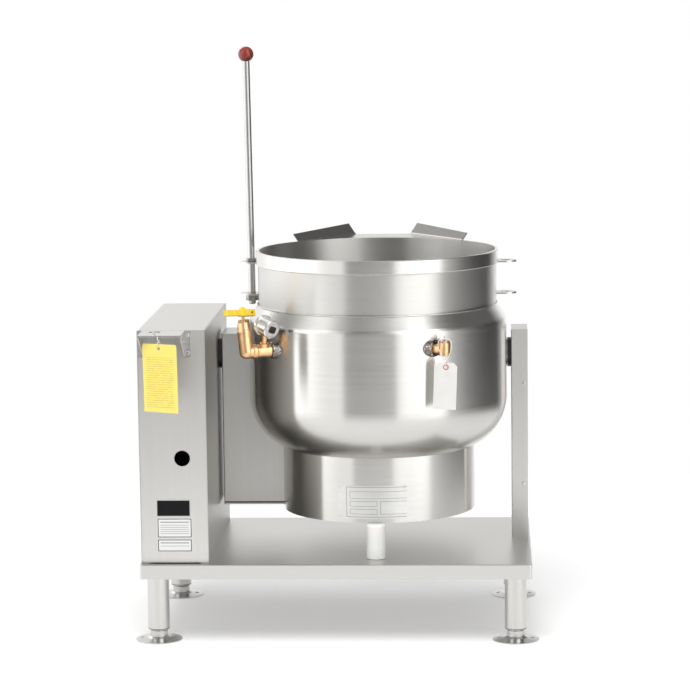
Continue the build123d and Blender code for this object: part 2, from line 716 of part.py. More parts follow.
def left_bearing_plate():
    """Doubler plate inside the console's right side, round the bush."""
    x1 = console_right - THIN_SHEET - SEAT_GAP
    half = BEARING_PLATE_SIZE / 2
    y0, y1 = TRUNNION_Y - half, TRUNNION_Y + half
    plate = box(x1 - BEARING_PLATE, x1, y0, y1, trunnion_z - half, trunnion_z + half)
    return plate - bar_x(BUSH_BARREL_RADIUS + SEAT_GAP, x1 - 20, x1 + 5, TRUNNION_Y, trunnion_z)


def trunnion_collar():
    """Collar that keeps the left trunnion from sliding out of its bush."""
    x1 = console_right - THIN_SHEET - BEARING_PLATE - 4
    collar = bar_x(TRUNNION_RADIUS + COLLAR_WALL, x1 - COLLAR_WIDTH, x1, TRUNNION_Y, trunnion_z)
    return collar - bar_x(TRUNNION_RADIUS + SEAT_GAP / 2, x1 - 20, x1 + 5, TRUNNION_Y, trunnion_z)


# Post


def post_channel():
    """Folded post, open on its right side, with a foot turned in on the tray."""
    y0, y1 = TRUNNION_Y - POST_DEPTH / 2, TRUNNION_Y + POST_DEPTH / 2
    post = box(post_left, post_right - SHEET, y0, y1, TRAY_TOP_Z, post_top - POST_CAP)
    post = fillet(post.edges().filter_by(Axis.Z).group_by(Axis.X)[0], CONSOLE_BEND)
    post -= box(post_left + SHEET, post_right, y0 + SHEET, y1 - SHEET, TRAY_TOP_Z + SHEET, post_top + 1)
    return post - bar_x(BUSH_BARREL_RADIUS + SEAT_GAP, post_left - 5, post_left + 5, TRUNNION_Y, trunnion_z)


def post_cover():
    """Flat cover that closes the post's right side."""
    y0, y1 = TRUNNION_Y - POST_DEPTH / 2, TRUNNION_Y + POST_DEPTH / 2
    cover = box(post_right - SHEET, post_right, y0, y1, TRAY_TOP_Z, post_top - POST_CAP)
    flange_y = y0 + SHEET + SEAT_GAP
    x0, x1 = post_right - COVER_FLANGE, post_right - SHEET
    return cover + box(x0, x1, flange_y, flange_y + SHEET, TRAY_TOP_Z + 20, post_top - 20)


def post_cap():
    """Cap over the post's open top."""
    y0, y1 = TRUNNION_Y - POST_DEPTH / 2, TRUNNION_Y + POST_DEPTH / 2
    cap = box(post_left, post_right, y0, y1, post_top - POST_CAP, post_top)
    cap = fillet(cap.edges().group_by(Axis.Z)[-1], POST_CAP / 2)
    margin = SHEET + SEAT_GAP
    low = post_top - POST_CAP - 8
    x1 = post_right - COVER_FLANGE - SEAT_GAP
    return cap + box(post_left + margin, x1, y0 + margin, y1 - margin, low, post_top - POST_CAP)


def post_screws():
    """Screws in the post's rear face that hold the cover's flange."""
    y = TRUNNION_Y - POST_DEPTH / 2
    screws = []
    for height in POST_SCREW_HEIGHTS:
        head = Rot(90, 0, 0) * screw_head(3.4, 2.2)
        screws.append(Pos(post_right - 8, y, TRAY_TOP_Z + height) * head)
    return screws


def right_bearing_block():
    """Block inside the post that carries the right bush."""
    x0 = post_left + SHEET
    half = POST_DEPTH / 2 - 2 * SHEET - 2 * SEAT_GAP - 1
    y0, y1 = TRUNNION_Y - half, TRUNNION_Y + half
    block = box(x0, x0 + BEARING_BLOCK, y0, y1, trunnion_z - 34, trunnion_z + 34)
    return block - bar_x(BUSH_BARREL_RADIUS + SEAT_GAP, x0 - 5, x0 + 25, TRUNNION_Y, trunnion_z)


# Kettle


def inner_bowl():
    """Cooking bowl: straight wall, knuckle and crown, open at the top."""
    knuckle, crown = BOWL_KNUCKLE + BOWL_WALL, BOWL_CROWN + BOWL_WALL
    outer = dish_face(bowl_outer, bowl_straight_z, rim_top_z, knuckle, crown)
    inner = dish_face(BOWL_RADIUS, bowl_straight_z, rim_top_z + 1, BOWL_KNUCKLE, BOWL_CROWN)
    return on_kettle(revolve(outer, Axis.Z) - revolve(inner, Axis.Z))


def rim_band():
    """Flat bar rolled round the rim."""
    band = ring_z(bowl_outer + BAND_THICKNESS, bowl_outer, rim_top_z - BAND_HEIGHT, rim_top_z)
    outer_edges = band.edges().filter_by(GeomType.CIRCLE).sort_by(SortBy.RADIUS)[-2:]
    return on_kettle(fillet(outer_edges, 1.0))


def shoulder_face(radius, shift):
    """Half section of the jacket's upper half, its surface moved in by shift."""
    neck = bowl_outer + SEAT_GAP / 2 if shift else radius
    top = shoulder_top_z - shift
    points = [
        (0, jacket_seam_z - (1 if shift else 0)),
        (jacket_radius - shift, jacket_seam_z - (1 if shift else 0)),
        (jacket_radius - shift, shoulder_bottom_z - shift / 2),
        (neck, top),
        (0, top),
    ]
    face = make_face(Polyline(*points, close=True))
    knee = face.vertices().sort_by_distance((jacket_radius - shift, shoulder_bottom_z - shift / 2))[0]
    return Plane.XZ * fillet(knee, SHOULDER_BEND)


def jacket_shell():
    """Upper jacket: sloped shoulder closed onto the bowl, rounded into the straight wall."""
    outer = revolve(shoulder_face(bowl_outer + SEAT_GAP, 0), Axis.Z)
    inner = revolve(shoulder_face(bowl_outer, JACKET_WALL), Axis.Z)
    bore = post_z(bowl_outer + SEAT_GAP / 2, jacket_seam_z - 1, shoulder_top_z + 1)
    shell = outer - inner - bore
    bead = Torus(bowl_outer + 1.4, 1.3)
    shell += Pos(0, 0, shoulder_top_z) * bead - bore
    shell -= port_bores_local()
    return on_kettle(shell)


def jacket_dish():
    """Lower jacket: short straight wall, knuckle and crown, with the girth weld at its top."""
    outer = dish_face(jacket_radius, jacket_straight_z, jacket_seam_z, JACKET_KNUCKLE, JACKET_CROWN)
    wall = JACKET_WALL
    inner = dish_face(
        jacket_radius - wall, jacket_straight_z, jacket_seam_z + 1, JACKET_KNUCKLE - wall, JACKET_CROWN - wall
    )
    dish = revolve(outer, Axis.Z) - revolve(inner, Axis.Z)
    for x in heater_xs:
        dish -= heater_hole(x)
    return on_kettle(dish)


def heater_hole(x):
    """Hole for one heater's boss in the dish, in the kettle's own frame."""
    base = dish_height(sqrt(x**2 + HEATER_SPAN**2), 0)
    return post_z(HEATER_BOSS_RADIUS, base - 20, base + 20, x, HEATER_SPAN)


def heater(x):
    """One heating element: boss through the dish, hairpin loop above and terminals below."""
    y = HEATER_SPAN
    base = dish_height(sqrt(x**2 + y**2), 0)
    boss = post_z(HEATER_BOSS_RADIUS - SEAT_GAP, base - 14, base + 12, x, y)
    boss += Pos(x, y, base - 26) * hexagon(HEATER_HEX, 12)
    half = HEATER_BOSS_RADIUS / 2
    low, high, far = base + 10, base + 24, -y - HEATER_SPAN
    out = [(x - half, y, low), (x - half, y, high), (x - half, far, high)]
    back = [(x + half, far, high), (x + half, y, high), (x + half, y, low)]
    path = FilletPolyline(*out, *back, radius=half * 0.95)
    section = Plane(origin=path @ 0, z_dir=path % 0) * Circle(HEATER_ROD_RADIUS)
    loop = sweep(section, path=path)
    pins = [post_z(2.5, base - 44, base - 25, x + end * (half - 1), y) for end in (-1, 1)]
    return on_kettle(boss + loop + pins[0] + pins[1])


def skirt():
    """Round skirt under the jacket, its top edge cut to the dish."""
    inner = SKIRT_RADIUS - THIN_SHEET
    wall = turned(
        [
            (inner, skirt_bottom_z),
            (SKIRT_RADIUS, skirt_bottom_z),
            (SKIRT_RADIUS, dish_height(SKIRT_RADIUS, 0) - SEAT_GAP),
            (inner, dish_height(inner, 0) - SEAT_GAP),
        ]
    )
    y0, y1 = TRUNNION_Y - WIRE_WAY / 2, TRUNNION_Y + WIRE_WAY / 2
    low = skirt_bottom_z + WIRE_WAY_RISE
    wire_way = box(-SKIRT_RADIUS - 5, -SKIRT_RADIUS + 60, y0, y1, low, low + WIRE_WAY_HEIGHT)
    return on_kettle(wall - wire_way)


def skirt_cover():
    """Dished cover that closes the skirt's underside."""
    outer = SKIRT_RADIUS - THIN_SHEET - SEAT_GAP
    low = skirt_bottom_z + 1
    cover = turned(
        [
            (0, low + 4),
            (outer - 24, low + 4),
            (outer - 18, low),
            (outer, low),
            (outer, low + SKIRT_COVER_RISE),
            (outer - THIN_SHEET, low + SKIRT_COVER_RISE),
            (outer - THIN_SHEET, low + THIN_SHEET),
            (outer - 17.4, low + THIN_SHEET),
            (outer - 23.4, low + 4 + THIN_SHEET),
            (0, low + 4 + THIN_SHEET),
        ]
    )
    return on_kettle(cover)


def kettle_envelope(gap):
    """Everything inside the kettle's outer surface, grown by a gap, in the kettle's own frame."""
    dish = revolve(
        dish_face(
            jacket_radius + gap, jacket_straight_z, jacket_seam_z, JACKET_KNUCKLE + gap, JACKET_CROWN + gap
        ),
        Axis.Z,
    )
    wall = post_z(jacket_radius + gap, jacket_seam_z, shoulder_bottom_z)
    skirt_core = post_z(SKIRT_RADIUS + gap, skirt_bottom_z - 20, jacket_straight_z)
    return dish + wall + skirt_core


def trunnion_box():
    """Sheet box on the kettle's left, coped to the jacket and skirt, that brings the wires down."""
    y0, y1 = TRUNNION_Y - BOX_DEPTH / 2, TRUNNION_Y + BOX_DEPTH / 2
    x1 = kettle_x - SKIRT_RADIUS * 0.9
    low, top = skirt_bottom_z + BOX_CAP, box_top_z
    outer = box(box_left, x1, y0, y1, low, top)
    outer = fillet(outer.edges().filter_by(Axis.Z).group_by(Axis.X)[0], CONSOLE_BEND)
    hollow = box(box_left + SHEET, x1 + 1, y0 + SHEET, y1 - SHEET, low - 1, top - SHEET)
    shell = outer - hollow - on_kettle(kettle_envelope(SEAT_GAP))
    shell -= bar_x(TRUNNION_RADIUS + SEAT_GAP, box_left - 5, box_left + 10, TRUNNION_Y, trunnion_z)
    return shell.solids().sort_by(SortBy.VOLUME)[-1]


def trunnion_box_cap():
    """Shallow pan that closes the box's underside."""
    y0, y1 = TRUNNION_Y - BOX_DEPTH / 2, TRUNNION_Y + BOX_DEPTH / 2
    x1 = kettle_x - SKIRT_RADIUS * 0.9
    cap = box(box_left, x1, y0, y1, skirt_bottom_z, skirt_bottom_z + BOX_CAP)
    cap = fillet(cap.edges().filter_by(Axis.Z).group_by(Axis.X)[0], CONSOLE_BEND)
    floor_z = skirt_bottom_z + SHEET
    cap -= box(box_left + SHEET, x1 + 1, y0 + SHEET, y1 - SHEET, floor_z, floor_z + BOX_CAP)
    cap -= on_kettle(kettle_envelope(SEAT_GAP))
    return cap.solids().sort_by(SortBy.VOLUME)[-1]


def left_trunnion():
    """Hollow trunnion from the jacket through the box and the bush into the console."""
    hub_face = kettle_x - jacket_reach - TRUNNION_HUB_REACH
    tail = console_right - TRUNNION_TAIL
    shaft = bar_x(TRUNNION_RADIUS, tail, kettle_x - jacket_reach + 20, TRUNNION_Y, trunnion_z)
    shaft += bar_x(TRUNNION_HUB_RADIUS, hub_face, kettle_x - jacket_reach + 20, TRUNNION_Y, trunnion_z)
    shaft -= bar_x(TRUNNION_BORE, tail - 1, hub_face - 2, TRUNNION_Y, trunnion_z)
    window_x = (box_left + hub_face) / 2
    window = box(window_x - 11, window_x + 11, TRUNNION_Y - 10, TRUNNION_Y + 10, trunnion_z - 30, trunnion_z)
    trunnion = shaft - window - on_kettle(kettle_envelope(SEAT_GAP))
    return trunnion.solids().sort_by(SortBy.VOLUME)[-1]


def right_trunnion():
    """Solid trunnion with a hub on the jacket's right."""
    hub_face = post_left - BUSH_FLANGE - FACE_GAP
    root = kettle_x + jacket_reach - 20
    shaft = bar_x(TRUNNION_HUB_RADIUS - 6, root, hub_face, TRUNNION_Y, trunnion_z)
    shaft += bar_x(TRUNNION_RADIUS, root, post_left + SHEET + BEARING_BLOCK + 2, TRUNNION_Y, trunnion_z)
    trunnion = shaft - on_kettle(kettle_envelope(SEAT_GAP))
    return trunnion.solids().sort_by(SortBy.VOLUME)[-1]


def lip_section(y, half, wall):
    """Closed outline across the lip at one depth: flat floor, rounded bends and leaning walls."""
    lean = radians(LIP_LEAN)
    shift = LIP_SHEET * tan(pi / 4 - lean / 2)
    crest = (half + wall * tan(lean), rim_top_z + wall)
    brim = (crest[0] + LIP_SHEET * cos(lean), crest[1] - LIP_SHEET * sin(lean))
    heel = (half + shift, rim_top_z - LIP_SHEET)
    right = [(half, rim_top_z), crest, brim, heel]
    left = [(-x, z) for x, z in reversed(right)]
    face = make_face(Polyline(*right, *left, close=True))
    inner = [face.vertices().sort_by_distance((side * half, rim_top_z))[0] for side in (-1, 1)]
    face = fillet(inner, LIP_BEND)
    outer = [face.vertices().sort_by_distance((side * heel[0], heel[1]))[0] for side in (-1, 1)]
    face = fillet(outer, LIP_BEND + LIP_SHEET)
    return Plane.XZ.offset(-y) * face


def pour_lip():
    """Butterfly pouring lip: level floor from the rim outwards, between two walls that close in."""
    band_radius = bowl_outer + BAND_THICKNESS
    root = lip_section(sqrt(bowl_outer**2 - LIP_ROOT_HALF**2), LIP_ROOT_HALF, LIP_ROOT_WALL)
    tip = lip_section(band_radius + LIP_REACH, LIP_TIP_HALF, LIP_TIP_WALL)
    lip = loft([root, tip], ruled=True)
    lip -= post_z(band_radius + SEAT_GAP, rim_top_z - BAND_HEIGHT, rim_top_z + SEAT_GAP)
    lip -= post_z(BOWL_RADIUS + SEAT_GAP, rim_top_z, rim_top_z + 4 * LIP_TIP_WALL)
    return on_kettle(lip.solids().sort_by(SortBy.VOLUME)[-1])


def bracket_plate(side, z):
    """One handle bracket plate with its round hole, coped to the upper wall."""
    outline = Rectangle(2 * bracket_x, 2 * BRACKET_HALF_WIDTH)
    outline += Pos(bracket_x, 0) * Circle(BRACKET_HALF_WIDTH)
    plate = extrude(outline, BRACKET_SHEET) - post_z(BRACKET_HOLE_RADIUS, -1, BRACKET_SHEET + 1, bracket_x, 0)
    plate = Pos(0, TRUNNION_Y, z - BRACKET_SHEET) * plate
    plate -= post_z(bowl_outer + SEAT_GAP, z - 20, z + 20)
    plate = plate.solids().sort_by(Axis.X)[-1]
    return plate if side > 0 else mirror(plate, about=Plane.YZ)


def handle_brackets():
    """Two plates each side, so that the handle can stand on either side."""
    plates = []
    for side in (-1, 1):
        for z in (bracket_upper_z, bracket_upper_z - BRACKET_SPACING):
            plates.append(on_kettle(bracket_plate(side, z)))
    return plates


heater_xs = (-HEATER_SPACING, 0.0, HEATER_SPACING)
handle_foot_z = bracket_upper_z - BRACKET_SPACING - BRACKET_SHEET
handle_seat = Pos(kettle_x - bracket_x, TRUNNION_Y, handle_foot_z) * Rot(0, -ROD_LEAN, 0)


def handle_rod():
    """Tilt handle rod, through both plates, with its upper end in the ball."""
    rod = Cylinder(ROD_RADIUS, HANDLE_LENGTH + ROD_TAIL, align=(Align.CENTER, Align.CENTER, Align.MIN))
    rod = Pos(0, 0, -ROD_TAIL) * rod
    rod = chamfer(rod.edges().group_by(Axis.Z)[0], 1.5)
    return handle_seat * rod


def handle_ball():
    """Ball grip with the socket for the rod."""
    ball = Sphere(BALL_RADIUS)
    flat = box(-30, 30, -30, 30, -30, -BALL_RADIUS + 1.2)
    socket = post_z(ROD_RADIUS + SEAT_GAP / 2, -BALL_RADIUS - 1, SEAT_GAP)
    return handle_seat * Pos(0, 0, HANDLE_LENGTH) * (ball - flat - socket)


def handle_nuts():
    """Nut under the lower plate and a jam nut above the upper plate."""
    hole = ROD_RADIUS + SEAT_GAP / 2
    lower = hexagon(NUT_FLATS, NUT_HEIGHT) - post_z(hole, -1, NUT_HEIGHT + 1)
    lower = Pos(0, 0, -NUT_HEIGHT - 2 * FACE_GAP) * lower
    jam_z = BRACKET_SPACING + BRACKET_SHEET + 2 * FACE_GAP
    jam = Pos(0, 0, jam_z) * (hexagon(NUT_FLATS - 3, 6) - post_z(hole, -1, 7))
    return [handle_seat * lower, handle_seat * jam]


# Ports in the jacket


def port_plane(side):
    """Plane at a port's outer face in the kettle's own frame: z outwards, y up."""
    x = side * (LEFT_PORT_X if side < 0 else RIGHT_PORT_X)
    reach = LEFT_PORT_REACH if side < 0 else RIGHT_PORT_REACH
    turn = radians(LEFT_PORT_TURN if side < 0 else RIGHT_PORT_TURN)
    z = port_z if side < 0 else port_z + RIGHT_PORT_RISE
    y = -sqrt(jacket_radius**2 - x**2)
    out = (side * sin(turn), -cos(turn), 0)
    origin = (x + out[0] * reach, y + out[1] * reach, z)
    return Plane(origin=origin, x_dir=(-out[1], out[0], 0), z_dir=out)


def port_bores_local():
    """Clearance holes for the couplings in the jacket wall."""
    bores = []
    for side in (-1, 1):
        bore = post_z(COUPLING_RADIUS + SEAT_GAP, -COUPLING_BURIED - 25, 5)
        bores.append(port_plane(side) * bore)
    return bores[0] + bores[1]


def couplings():
    """Steel half couplings welded through the jacket wall."""
    pieces = []
    for side in (-1, 1):
        bar = Cylinder(COUPLING_RADIUS, COUPLING_BURIED, align=(Align.CENTER, Align.CENTER, Align.MAX))
        bar = chamfer(bar.edges().group_by(Axis.Z)[-1], 1.5)
        bar -= Cylinder(PIPE_RADIUS + SEAT_GAP, 18, align=(Align.CENTER, Align.CENTER, Align.MAX))
        piece = port_plane(side) * bar - post_z(bowl_outer + SEAT_GAP, port_z - 60, port_z + 60)
        pieces.append(on_kettle(piece.solids().sort_by(SortBy.VOLUME)[-1]))
    return pieces


left_port = port_plane(-1)
right_port = port_plane(1)
tee_centre = TEE_LENGTH / 2
elbow_centre = TEE_LENGTH + ELBOW_OFFSET
safety_x = kettle_x + right_port.origin.X + right_port.z_dir.X * SAFETY_REACH
safety_y = right_port.origin.Y + right_port.z_dir.Y * SAFETY_REACH
safety_z = right_port.origin.Z
pull_ring_z = safety_z + SAFETY_HEIGHT / 2 + PULL_RING_RISE


def gauge_tee():
    """Brass tee screwed into the left coupling, its branch up to the gauge."""
    run = Cylinder(TEE_RADIUS, TEE_LENGTH, align=(Align.CENTER, Align.CENTER, Align.MIN))
    run = fillet(run.edges(), 1.5)
    run += Cylinder(PIPE_RADIUS, 14, align=(Align.CENTER, Align.CENTER, Align.MAX))
    branch = Cylinder(8.5, TEE_BRANCH, align=(Align.CENTER, Align.CENTER, Align.MIN))
    branch = Rot(0, 0, GAUGE_ROLL) * Pos(0, 0, tee_centre) * Rot(-90, 0, 0) * branch
    return on_kettle(left_port * (run + branch))


def vent_elbow():
    """Brass elbow from the tee up to the vent valve, with a rolled collar."""
    collar = Pos(0, 0, TEE_LENGTH + 5) * Cylinder(ELBOW_RADIUS + 0.8, 9)
    collar = fillet(collar.edges(), 2.5)
    run = post_z(TEE_RADIUS, TEE_LENGTH, elbow_centre)
    heel = Pos(0, 0, elbow_centre) * Sphere(ELBOW_RADIUS)
    rise = Rot(0, 0, VALVE_ROLL) * Pos(0, 10, elbow_centre) * Rot(-90, 0, 0) * Cylinder(ELBOW_RADIUS, 20)
    return on_kettle(left_port * (run + collar + heel + rise))


def valve_place():
    """Location of the vent valve's own axis: z up along the body, x along the pipe run."""
    base = Pos(kettle_x, 0, 0) * left_port.location
    return base * Rot(0, 0, VALVE_ROLL) * Pos(0, 20 + SEAT_GAP, elbow_centre) * Rot(-90, 0, 0)


def vent_valve():
    """Vent valve body: round and a little swollen, with a gland nut on top and the stem's bore."""
    middle_z = VALVE_LENGTH * 0.4
    gland_z = VALVE_LENGTH - GLAND_HEIGHT
    lower = Cylinder(ELBOW_RADIUS, middle_z, align=(Align.CENTER, Align.CENTER, Align.MIN))
    middle = Pos(0, 0, middle_z) * Sphere(ELBOW_RADIUS + 0.6)
    rise = gland_z - middle_z
    taper = Cone(ELBOW_RADIUS, ELBOW_RADIUS - 1.4, rise, align=(Align.CENTER, Align.CENTER, Align.MIN))
    upper = Pos(0, 0, middle_z) * taper
    gland = Pos(0, 0, gland_z) * hexagon(19, GLAND_HEIGHT)
    body = lower + middle + upper + gland
    body -= post_z(STEM_RADIUS + RUNNING_GAP, 20, 60)
    cut = box(-40, 40, -40, 40, -40, 0)
    return valve_place() * (body - cut)


def vent_lever():
    """Yellow lever: long arm, thicker head with a cross hole, stem and cap nut."""
    low = VALVE_LENGTH + LEVER_RISE
    top = low + LEVER_HEIGHT
    half = LEVER_WIDTH / 2
    arm_low = low + LEVER_HEIGHT / 2 - LEVER_ARM_HEIGHT / 2
    arm = box(0, LEVER_LONG, -half + 1, half - 1, arm_low, arm_low + LEVER_ARM_HEIGHT)
    arm = fillet(arm.edges().filter_by(Axis.Z).group_by(Axis.X)[-1], half - 1.5)
    head = box(-LEVER_SHORT, half + 2, -half, half, low, top)
    head = fillet(head.edges().filter_by(Axis.Z), 2.5)
    head -= bar_y(2.6, -half - 1, half + 1, -LEVER_SHORT + half + 1, (low + top) / 2)
    stem = post_z(STEM_RADIUS, VALVE_LENGTH / 2 + 2, top)
    cap = Pos(0, 0, top) * hexagon(12, 3) + post_z(STEM_RADIUS, top + 2, top + 5)
    return valve_place() * Rot(0, 0, LEVER_TURN) * (arm + head + stem + cap)


def gauge_place():
    """Location of the gauge: z out of its dial, y up along its stem."""
    base = Pos(kettle_x, 0, 0) * left_port.location
    above = Plane(base * Rot(0, 0, GAUGE_ROLL) * Pos(0, GAUGE_RISE, tee_centre))
    up = above.y_dir
    level = Vector(-sin(radians(GAUGE_TURN)), cos(radians(GAUGE_TURN)), 0)
    facing = (level - up * level.dot(up)).normalized()
    centre = above.origin - facing * GAUGE_SET_BACK
    return Plane(origin=centre, x_dir=up.cross(facing), z_dir=facing).location


def gauge_case():
    """Gauge case, open at the dial, with its bezel and a ring groove in its back."""
    half = GAUGE_DEPTH / 2
    dial_z = half - GAUGE_DIAL_DEPTH
    case = turned(
        [
            (0, -half),
            (11.0, -half),
            (11.8, 1.6 - half),
            (14.0, 1.6 - half),
            (14.6, 0.4 - half),
            (GAUGE_RADIUS - 1.6, 0.4 - half),
            (GAUGE_RADIUS, 2.2 - half),
            (GAUGE_RADIUS, half - 5),
            (GAUGE_BEZEL_RADIUS, half - 5),
            (GAUGE_BEZEL_RADIUS, half),
            (GAUGE_RADIUS - GAUGE_WALL, half),
            (GAUGE_RADIUS - GAUGE_WALL, dial_z),
            (0, dial_z),
        ]
    )
    return gauge_place() * case


def gauge_plug():
    """Square black plug in the middle of the gauge's back."""
    plug = Box(GAUGE_PLUG, GAUGE_PLUG, 2.4, align=(Align.CENTER, Align.CENTER, Align.MAX))
    plug = fillet(plug.edges().filter_by(Axis.Z), 3.0)
    return gauge_place() * Rot(0, 0, 20) * Pos(0, 0, -GAUGE_DEPTH / 2) * plug


def gauge_stem():
    """Stem between the tee's branch and the gauge."""
    base = Pos(kettle_x, 0, 0) * left_port.location
    place = base * Rot(0, 0, GAUGE_ROLL) * Pos(0, TEE_BRANCH + SEAT_GAP, tee_centre) * Rot(-90, 0, 0)
    stem = place * Cylinder(5.0, GAUGE_RISE - TEE_BRANCH, align=(Align.CENTER, Align.CENTER, Align.MIN))
    stem -= gauge_place() * Cylinder(GAUGE_RADIUS + SEAT_GAP, GAUGE_DEPTH)
    return stem.solids().sort_by(SortBy.VOLUME)[-1]


def gauge_dial():
    """Dial plate in the case, with the pin that the pointer turns on."""
    floor_z = GAUGE_DEPTH / 2 - GAUGE_DIAL_DEPTH
    plate = post_z(GAUGE_RADIUS - GAUGE_WALL - SEAT_GAP, floor_z + SEAT_GAP, floor_z + 1)
    plate += post_z(GAUGE_PIN_RADIUS, floor_z + 1, floor_z + 3.8)
    return gauge_place() * plate


def gauge_pointer():
    """Pointer on its pivot, resting at the low end of the scale."""
    low = GAUGE_DEPTH / 2 - GAUGE_DIAL_DEPTH + 2
    bore = GAUGE_PIN_RADIUS + RUNNING_GAP
    blade = extrude(make_face(Polyline((-1.2, -6), (1.2, -6), (0.3, 12), (-0.3, 12), close=True)), 0.6)
    needle = post_z(2.6, low, low + 1.4) + Pos(0, 0, low + 0.2) * blade - post_z(bore, low - 1, low + 2)
    return gauge_place() * Rot(0, 0, 135) * needle


def gauge_glass():
    """Flat glass under the bezel."""
    half = GAUGE_DEPTH / 2
    return gauge_place() * post_z(GAUGE_RADIUS - GAUGE_WALL - SEAT_GAP, half - 3, half - 1.5)


def safety_valve():
    """Brass safety valve: side inlet and upright body with a castellated crown."""
    inlet = Cylinder(PIPE_RADIUS, SAFETY_REACH + 13, align=(Align.CENTER, Align.CENTER, Align.MAX))
    upright = Rot(-90, 0, 0)
    top = SAFETY_HEIGHT / 2
    body = fillet(Cylinder(SAFETY_RADIUS, SAFETY_HEIGHT).edges(), 1.2)
    crown_radius = SAFETY_RADIUS - 1.0
    crown = ring_z(crown_radius, crown_radius - SAFETY_CROWN_WALL, top - 0.5, top + SAFETY_CROWN)
    for index in range(SAFETY_STUDS // 2):
        notch = box(-20, 20, -2.2, 2.2, top, top + SAFETY_CROWN + 1)
        crown -= Rot(0, 0, 360 / SAFETY_STUDS * index) * notch
    outlet = post_z(7, -top - 1, -top + 13)
    stem_hole = post_z(PULL_STEM_RADIUS + RUNNING_GAP, 0, top + 5)
    valve = inlet + upright * (body + crown) - upright * (outlet + stem_hole)
    return on_kettle(right_port * Pos(0, 0, SAFETY_REACH) * valve)


def safety_pull():
    """Stem and ring that lift the safety valve by hand."""
    top = SAFETY_HEIGHT / 2
    ring_z0 = top + PULL_RING_RISE
    stem = post_z(PULL_STEM_RADIUS, 2, ring_z0 - PULL_RING_RADIUS)
    cap = post_z(4.2, top + FACE_GAP, top + 2)
    ring = Pos(0, 0, ring_z0) * Rot(0, 90, 0) * Torus(PULL_RING_RADIUS, PULL_WIRE_RADIUS)
    return Pos(safety_x, safety_y, safety_z) * (stem + cap + ring)


def skirt_plate():
    """Bare curved plate on the skirt's rear, with its rivets."""
    z0 = skirt_bottom_z + SKIRT_PLATE_RISE
    z1 = z0 + SKIRT_PLATE_HEIGHT
    half = SKIRT_PLATE_WIDTH / 2
    plate = ring_z(SKIRT_RADIUS + TAG_SHEET, SKIRT_RADIUS, z0, z1)
    plate &= box(-half, half, -SKIRT_RADIUS - 10, -SKIRT_RADIUS / 2, z0, z1)
    for x in (4.0 - half, half - 4.0):
        for z in (z0 + 4.0, z1 - 4.0):
            y = -sqrt((SKIRT_RADIUS + TAG_SHEET) ** 2 - x**2)
            plate += bar_y(1.6, y - 0.8, y + 0.5, x, z) - post_z(SKIRT_RADIUS, z - 5, z + 5)
    return on_kettle(Rot(0, 0, -2.2) * plate)


# Tags and their strings

lip_y = console_rear - SHELF_REACH
shelf_top = console_top - SEAT_GAP
yellow_eye = (console_left + 51.0, lip_y - 3.0, TRAY_TOP_Z + 421.0)
white_eye = (safety_x + 2.9, safety_y - SAFETY_RADIUS - 3.4, safety_z - 32.3)


def hung(outline, tilt, turn):
    """Card with an eye at the origin, hanging in the XZ plane, then tilted and turned about its eye."""
    card = extrude(Plane.XZ * (outline - Circle(TAG_HOLE_RADIUS)), TAG_SHEET / 2, both=True)
    return Rot(0, 0, turn) * Rot(0, tilt, 0) * card


def yellow_tag():
    """Tag with rounded upper corners."""
    card = Rectangle(YELLOW_TAG_WIDTH, YELLOW_TAG_HEIGHT)
    card = fillet(card.vertices().group_by(Axis.Y)[-1], YELLOW_TAG_ROUND)
    card = Pos(YELLOW_TAG_WIDTH / 2 - YELLOW_EYE_X, YELLOW_EYE_DROP - YELLOW_TAG_HEIGHT / 2) * card
    return Pos(*yellow_eye) * hung(card, YELLOW_TILT, YELLOW_TURN)


def white_tag():
    """Tag with clipped upper corners."""
    left, top = -WHITE_EYE_X, WHITE_EYE_DROP
    right, bottom = left + WHITE_TAG_WIDTH, top - WHITE_TAG_HEIGHT
    upper = [(right, top - WHITE_TAG_CLIP), (right - WHITE_TAG_CLIP, top)]
    upper += [(left + WHITE_TAG_CLIP, top), (left, top - WHITE_TAG_CLIP)]
    card = make_face(Polyline((left, bottom), (right, bottom), *upper, close=True))
    return Pos(*white_eye) * hung(card, WHITE_TILT, WHITE_TURN)


loop_base = TAG_HOLE_RADIUS - STRING_RADIUS - FACE_GAP
strand = 2 * STRING_RADIUS + FACE_GAP


def tag_loop(eye, reach, turn):
    """Small ring of string through a tag's eye and over its upper edge."""
    ring = Pos(0, 0, loop_base + reach) * Rot(0, 90, 0) * Torus(reach, STRING_RADIUS)
    return Pos(*eye) * Rot(0, 0, turn) * ring


def cord_path(points, tight):
    """Straight runs joined by tangent arcs; tight gives the radius at a corner held by an edge."""
    radii = []
    for index in range(1, len(points) - 1):
        one = Vector(*points[index]) - Vector(*points[index - 1])
        two = Vector(*points[index + 1]) - Vector(*points[index])
        half = radians(one.get_angle(two)) / 2
        free = 0.45 * min(one.length, two.length) / tan(half)
        radii.append(tight.get(index, free))
    path = FilletPolyline(*points, radius=radii)
    print("cord radii", [round(r, 1) for r in radii], "length", round(path.length, 1))
    return path


def cord(points, tight):
    """Round string along a path."""
    path = cord_path(points, tight)
    section = Plane(origin=path @ 0, z_dir=path % 0) * Circle(STRING_RADIUS)
    string = sweep(section, path=path)
    print("cord volume", round(string.volume, 1), "expected", round(pi * STRING_RADIUS**2 * path.length, 1))
    return string


